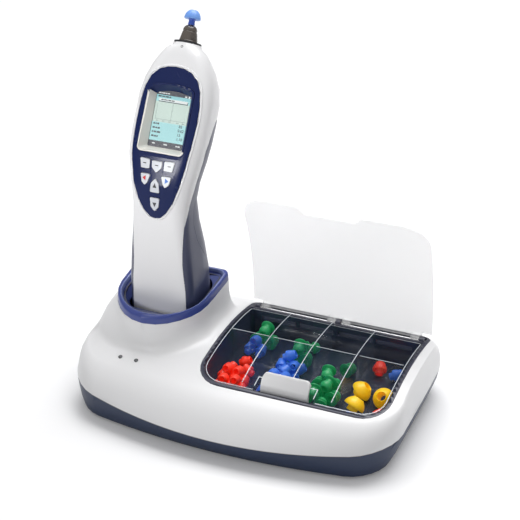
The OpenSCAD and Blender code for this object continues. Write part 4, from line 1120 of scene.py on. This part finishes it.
bpy.ops.object.select_all(action="DESELECT")
bpy.ops.mesh.primitive_plane_add(size=12, location=(0, 0, 0))
floor = bpy.context.object
floor.name = "floor"
ground = bpy.data.materials.new("pale_floor")
ground.use_nodes = True
tree = ground.node_tree
shader = tree.nodes["Principled BSDF"]
shader.inputs["Base Color"].default_value = (0.86, 0.86, 0.87, 1)
shader.inputs["Roughness"].default_value = 0.9
shader.inputs["Specular IOR Level"].default_value = 0.1
shader.inputs["Emission Color"].default_value = (1, 1, 1, 1)
seen = seen_directly(tree)
where = tree.nodes.new("ShaderNodeTexCoord")
reach = tree.nodes.new("ShaderNodeVectorMath")
reach.operation = "LENGTH"
tree.links.new(where.outputs["Object"], reach.inputs[0])
far = tree.nodes.new("ShaderNodeMapRange")
metres_to_lift = {"From Min": 1.0, "From Max": 3.2, "To Min": 0.12, "To Max": 1.0}
for label, amount in metres_to_lift.items():
    far.inputs[label].default_value = amount
tree.links.new(reach.outputs["Value"], far.inputs["Value"])
lifted = maths(tree, "MULTIPLY", seen, far.outputs["Result"])
tree.links.new(lifted, shader.inputs["Emission Strength"])
floor.data.materials.append(ground)

# %% World and lamps
world = bpy.data.worlds.new("studio")
bpy.context.scene.world = world
world.use_nodes = True
tree = world.node_tree
horizon_light, more_overhead = 0.2, 0.4
sky = tree.nodes["Background"]
sky.inputs["Color"].default_value = (1, 1, 1, 1)
seen = seen_directly(tree)
where = tree.nodes.new("ShaderNodeTexCoord")
direction = tree.nodes.new("ShaderNodeSeparateXYZ")
tree.links.new(where.outputs["Generated"], direction.inputs[0])
shine = maths(tree, "MULTIPLY_ADD", direction.outputs["Z"], more_overhead, horizon_light)
tree.links.new(maths(tree, "MAXIMUM", seen, shine), sky.inputs["Strength"])


def soft_box(name, place, target, width, height, power, spread=180):
    """An area lamp of this size and power, aimed at a target, with its beam in degrees."""
    bpy.ops.object.light_add(type="AREA", location=place)
    lamp = bpy.context.object
    lamp.name = name
    lamp.data.shape = "RECTANGLE"
    lamp.data.size = width
    lamp.data.size_y = height
    lamp.data.energy = power
    lamp.data.spread = math.radians(spread)
    aim = Vector(target) - Vector(place)
    lamp.rotation_euler = aim.to_track_quat("-Z", "Y").to_euler()


soft_box("top_light", (0.0, 0.6, 1.4), (0, 0.02, 0.05), 1.2, 1.0, 21.5)
soft_box("grip_light", (-0.24, -0.55, 0.36), (-0.09, 0, 0.235), 0.16, 0.16, 0.14, 44)
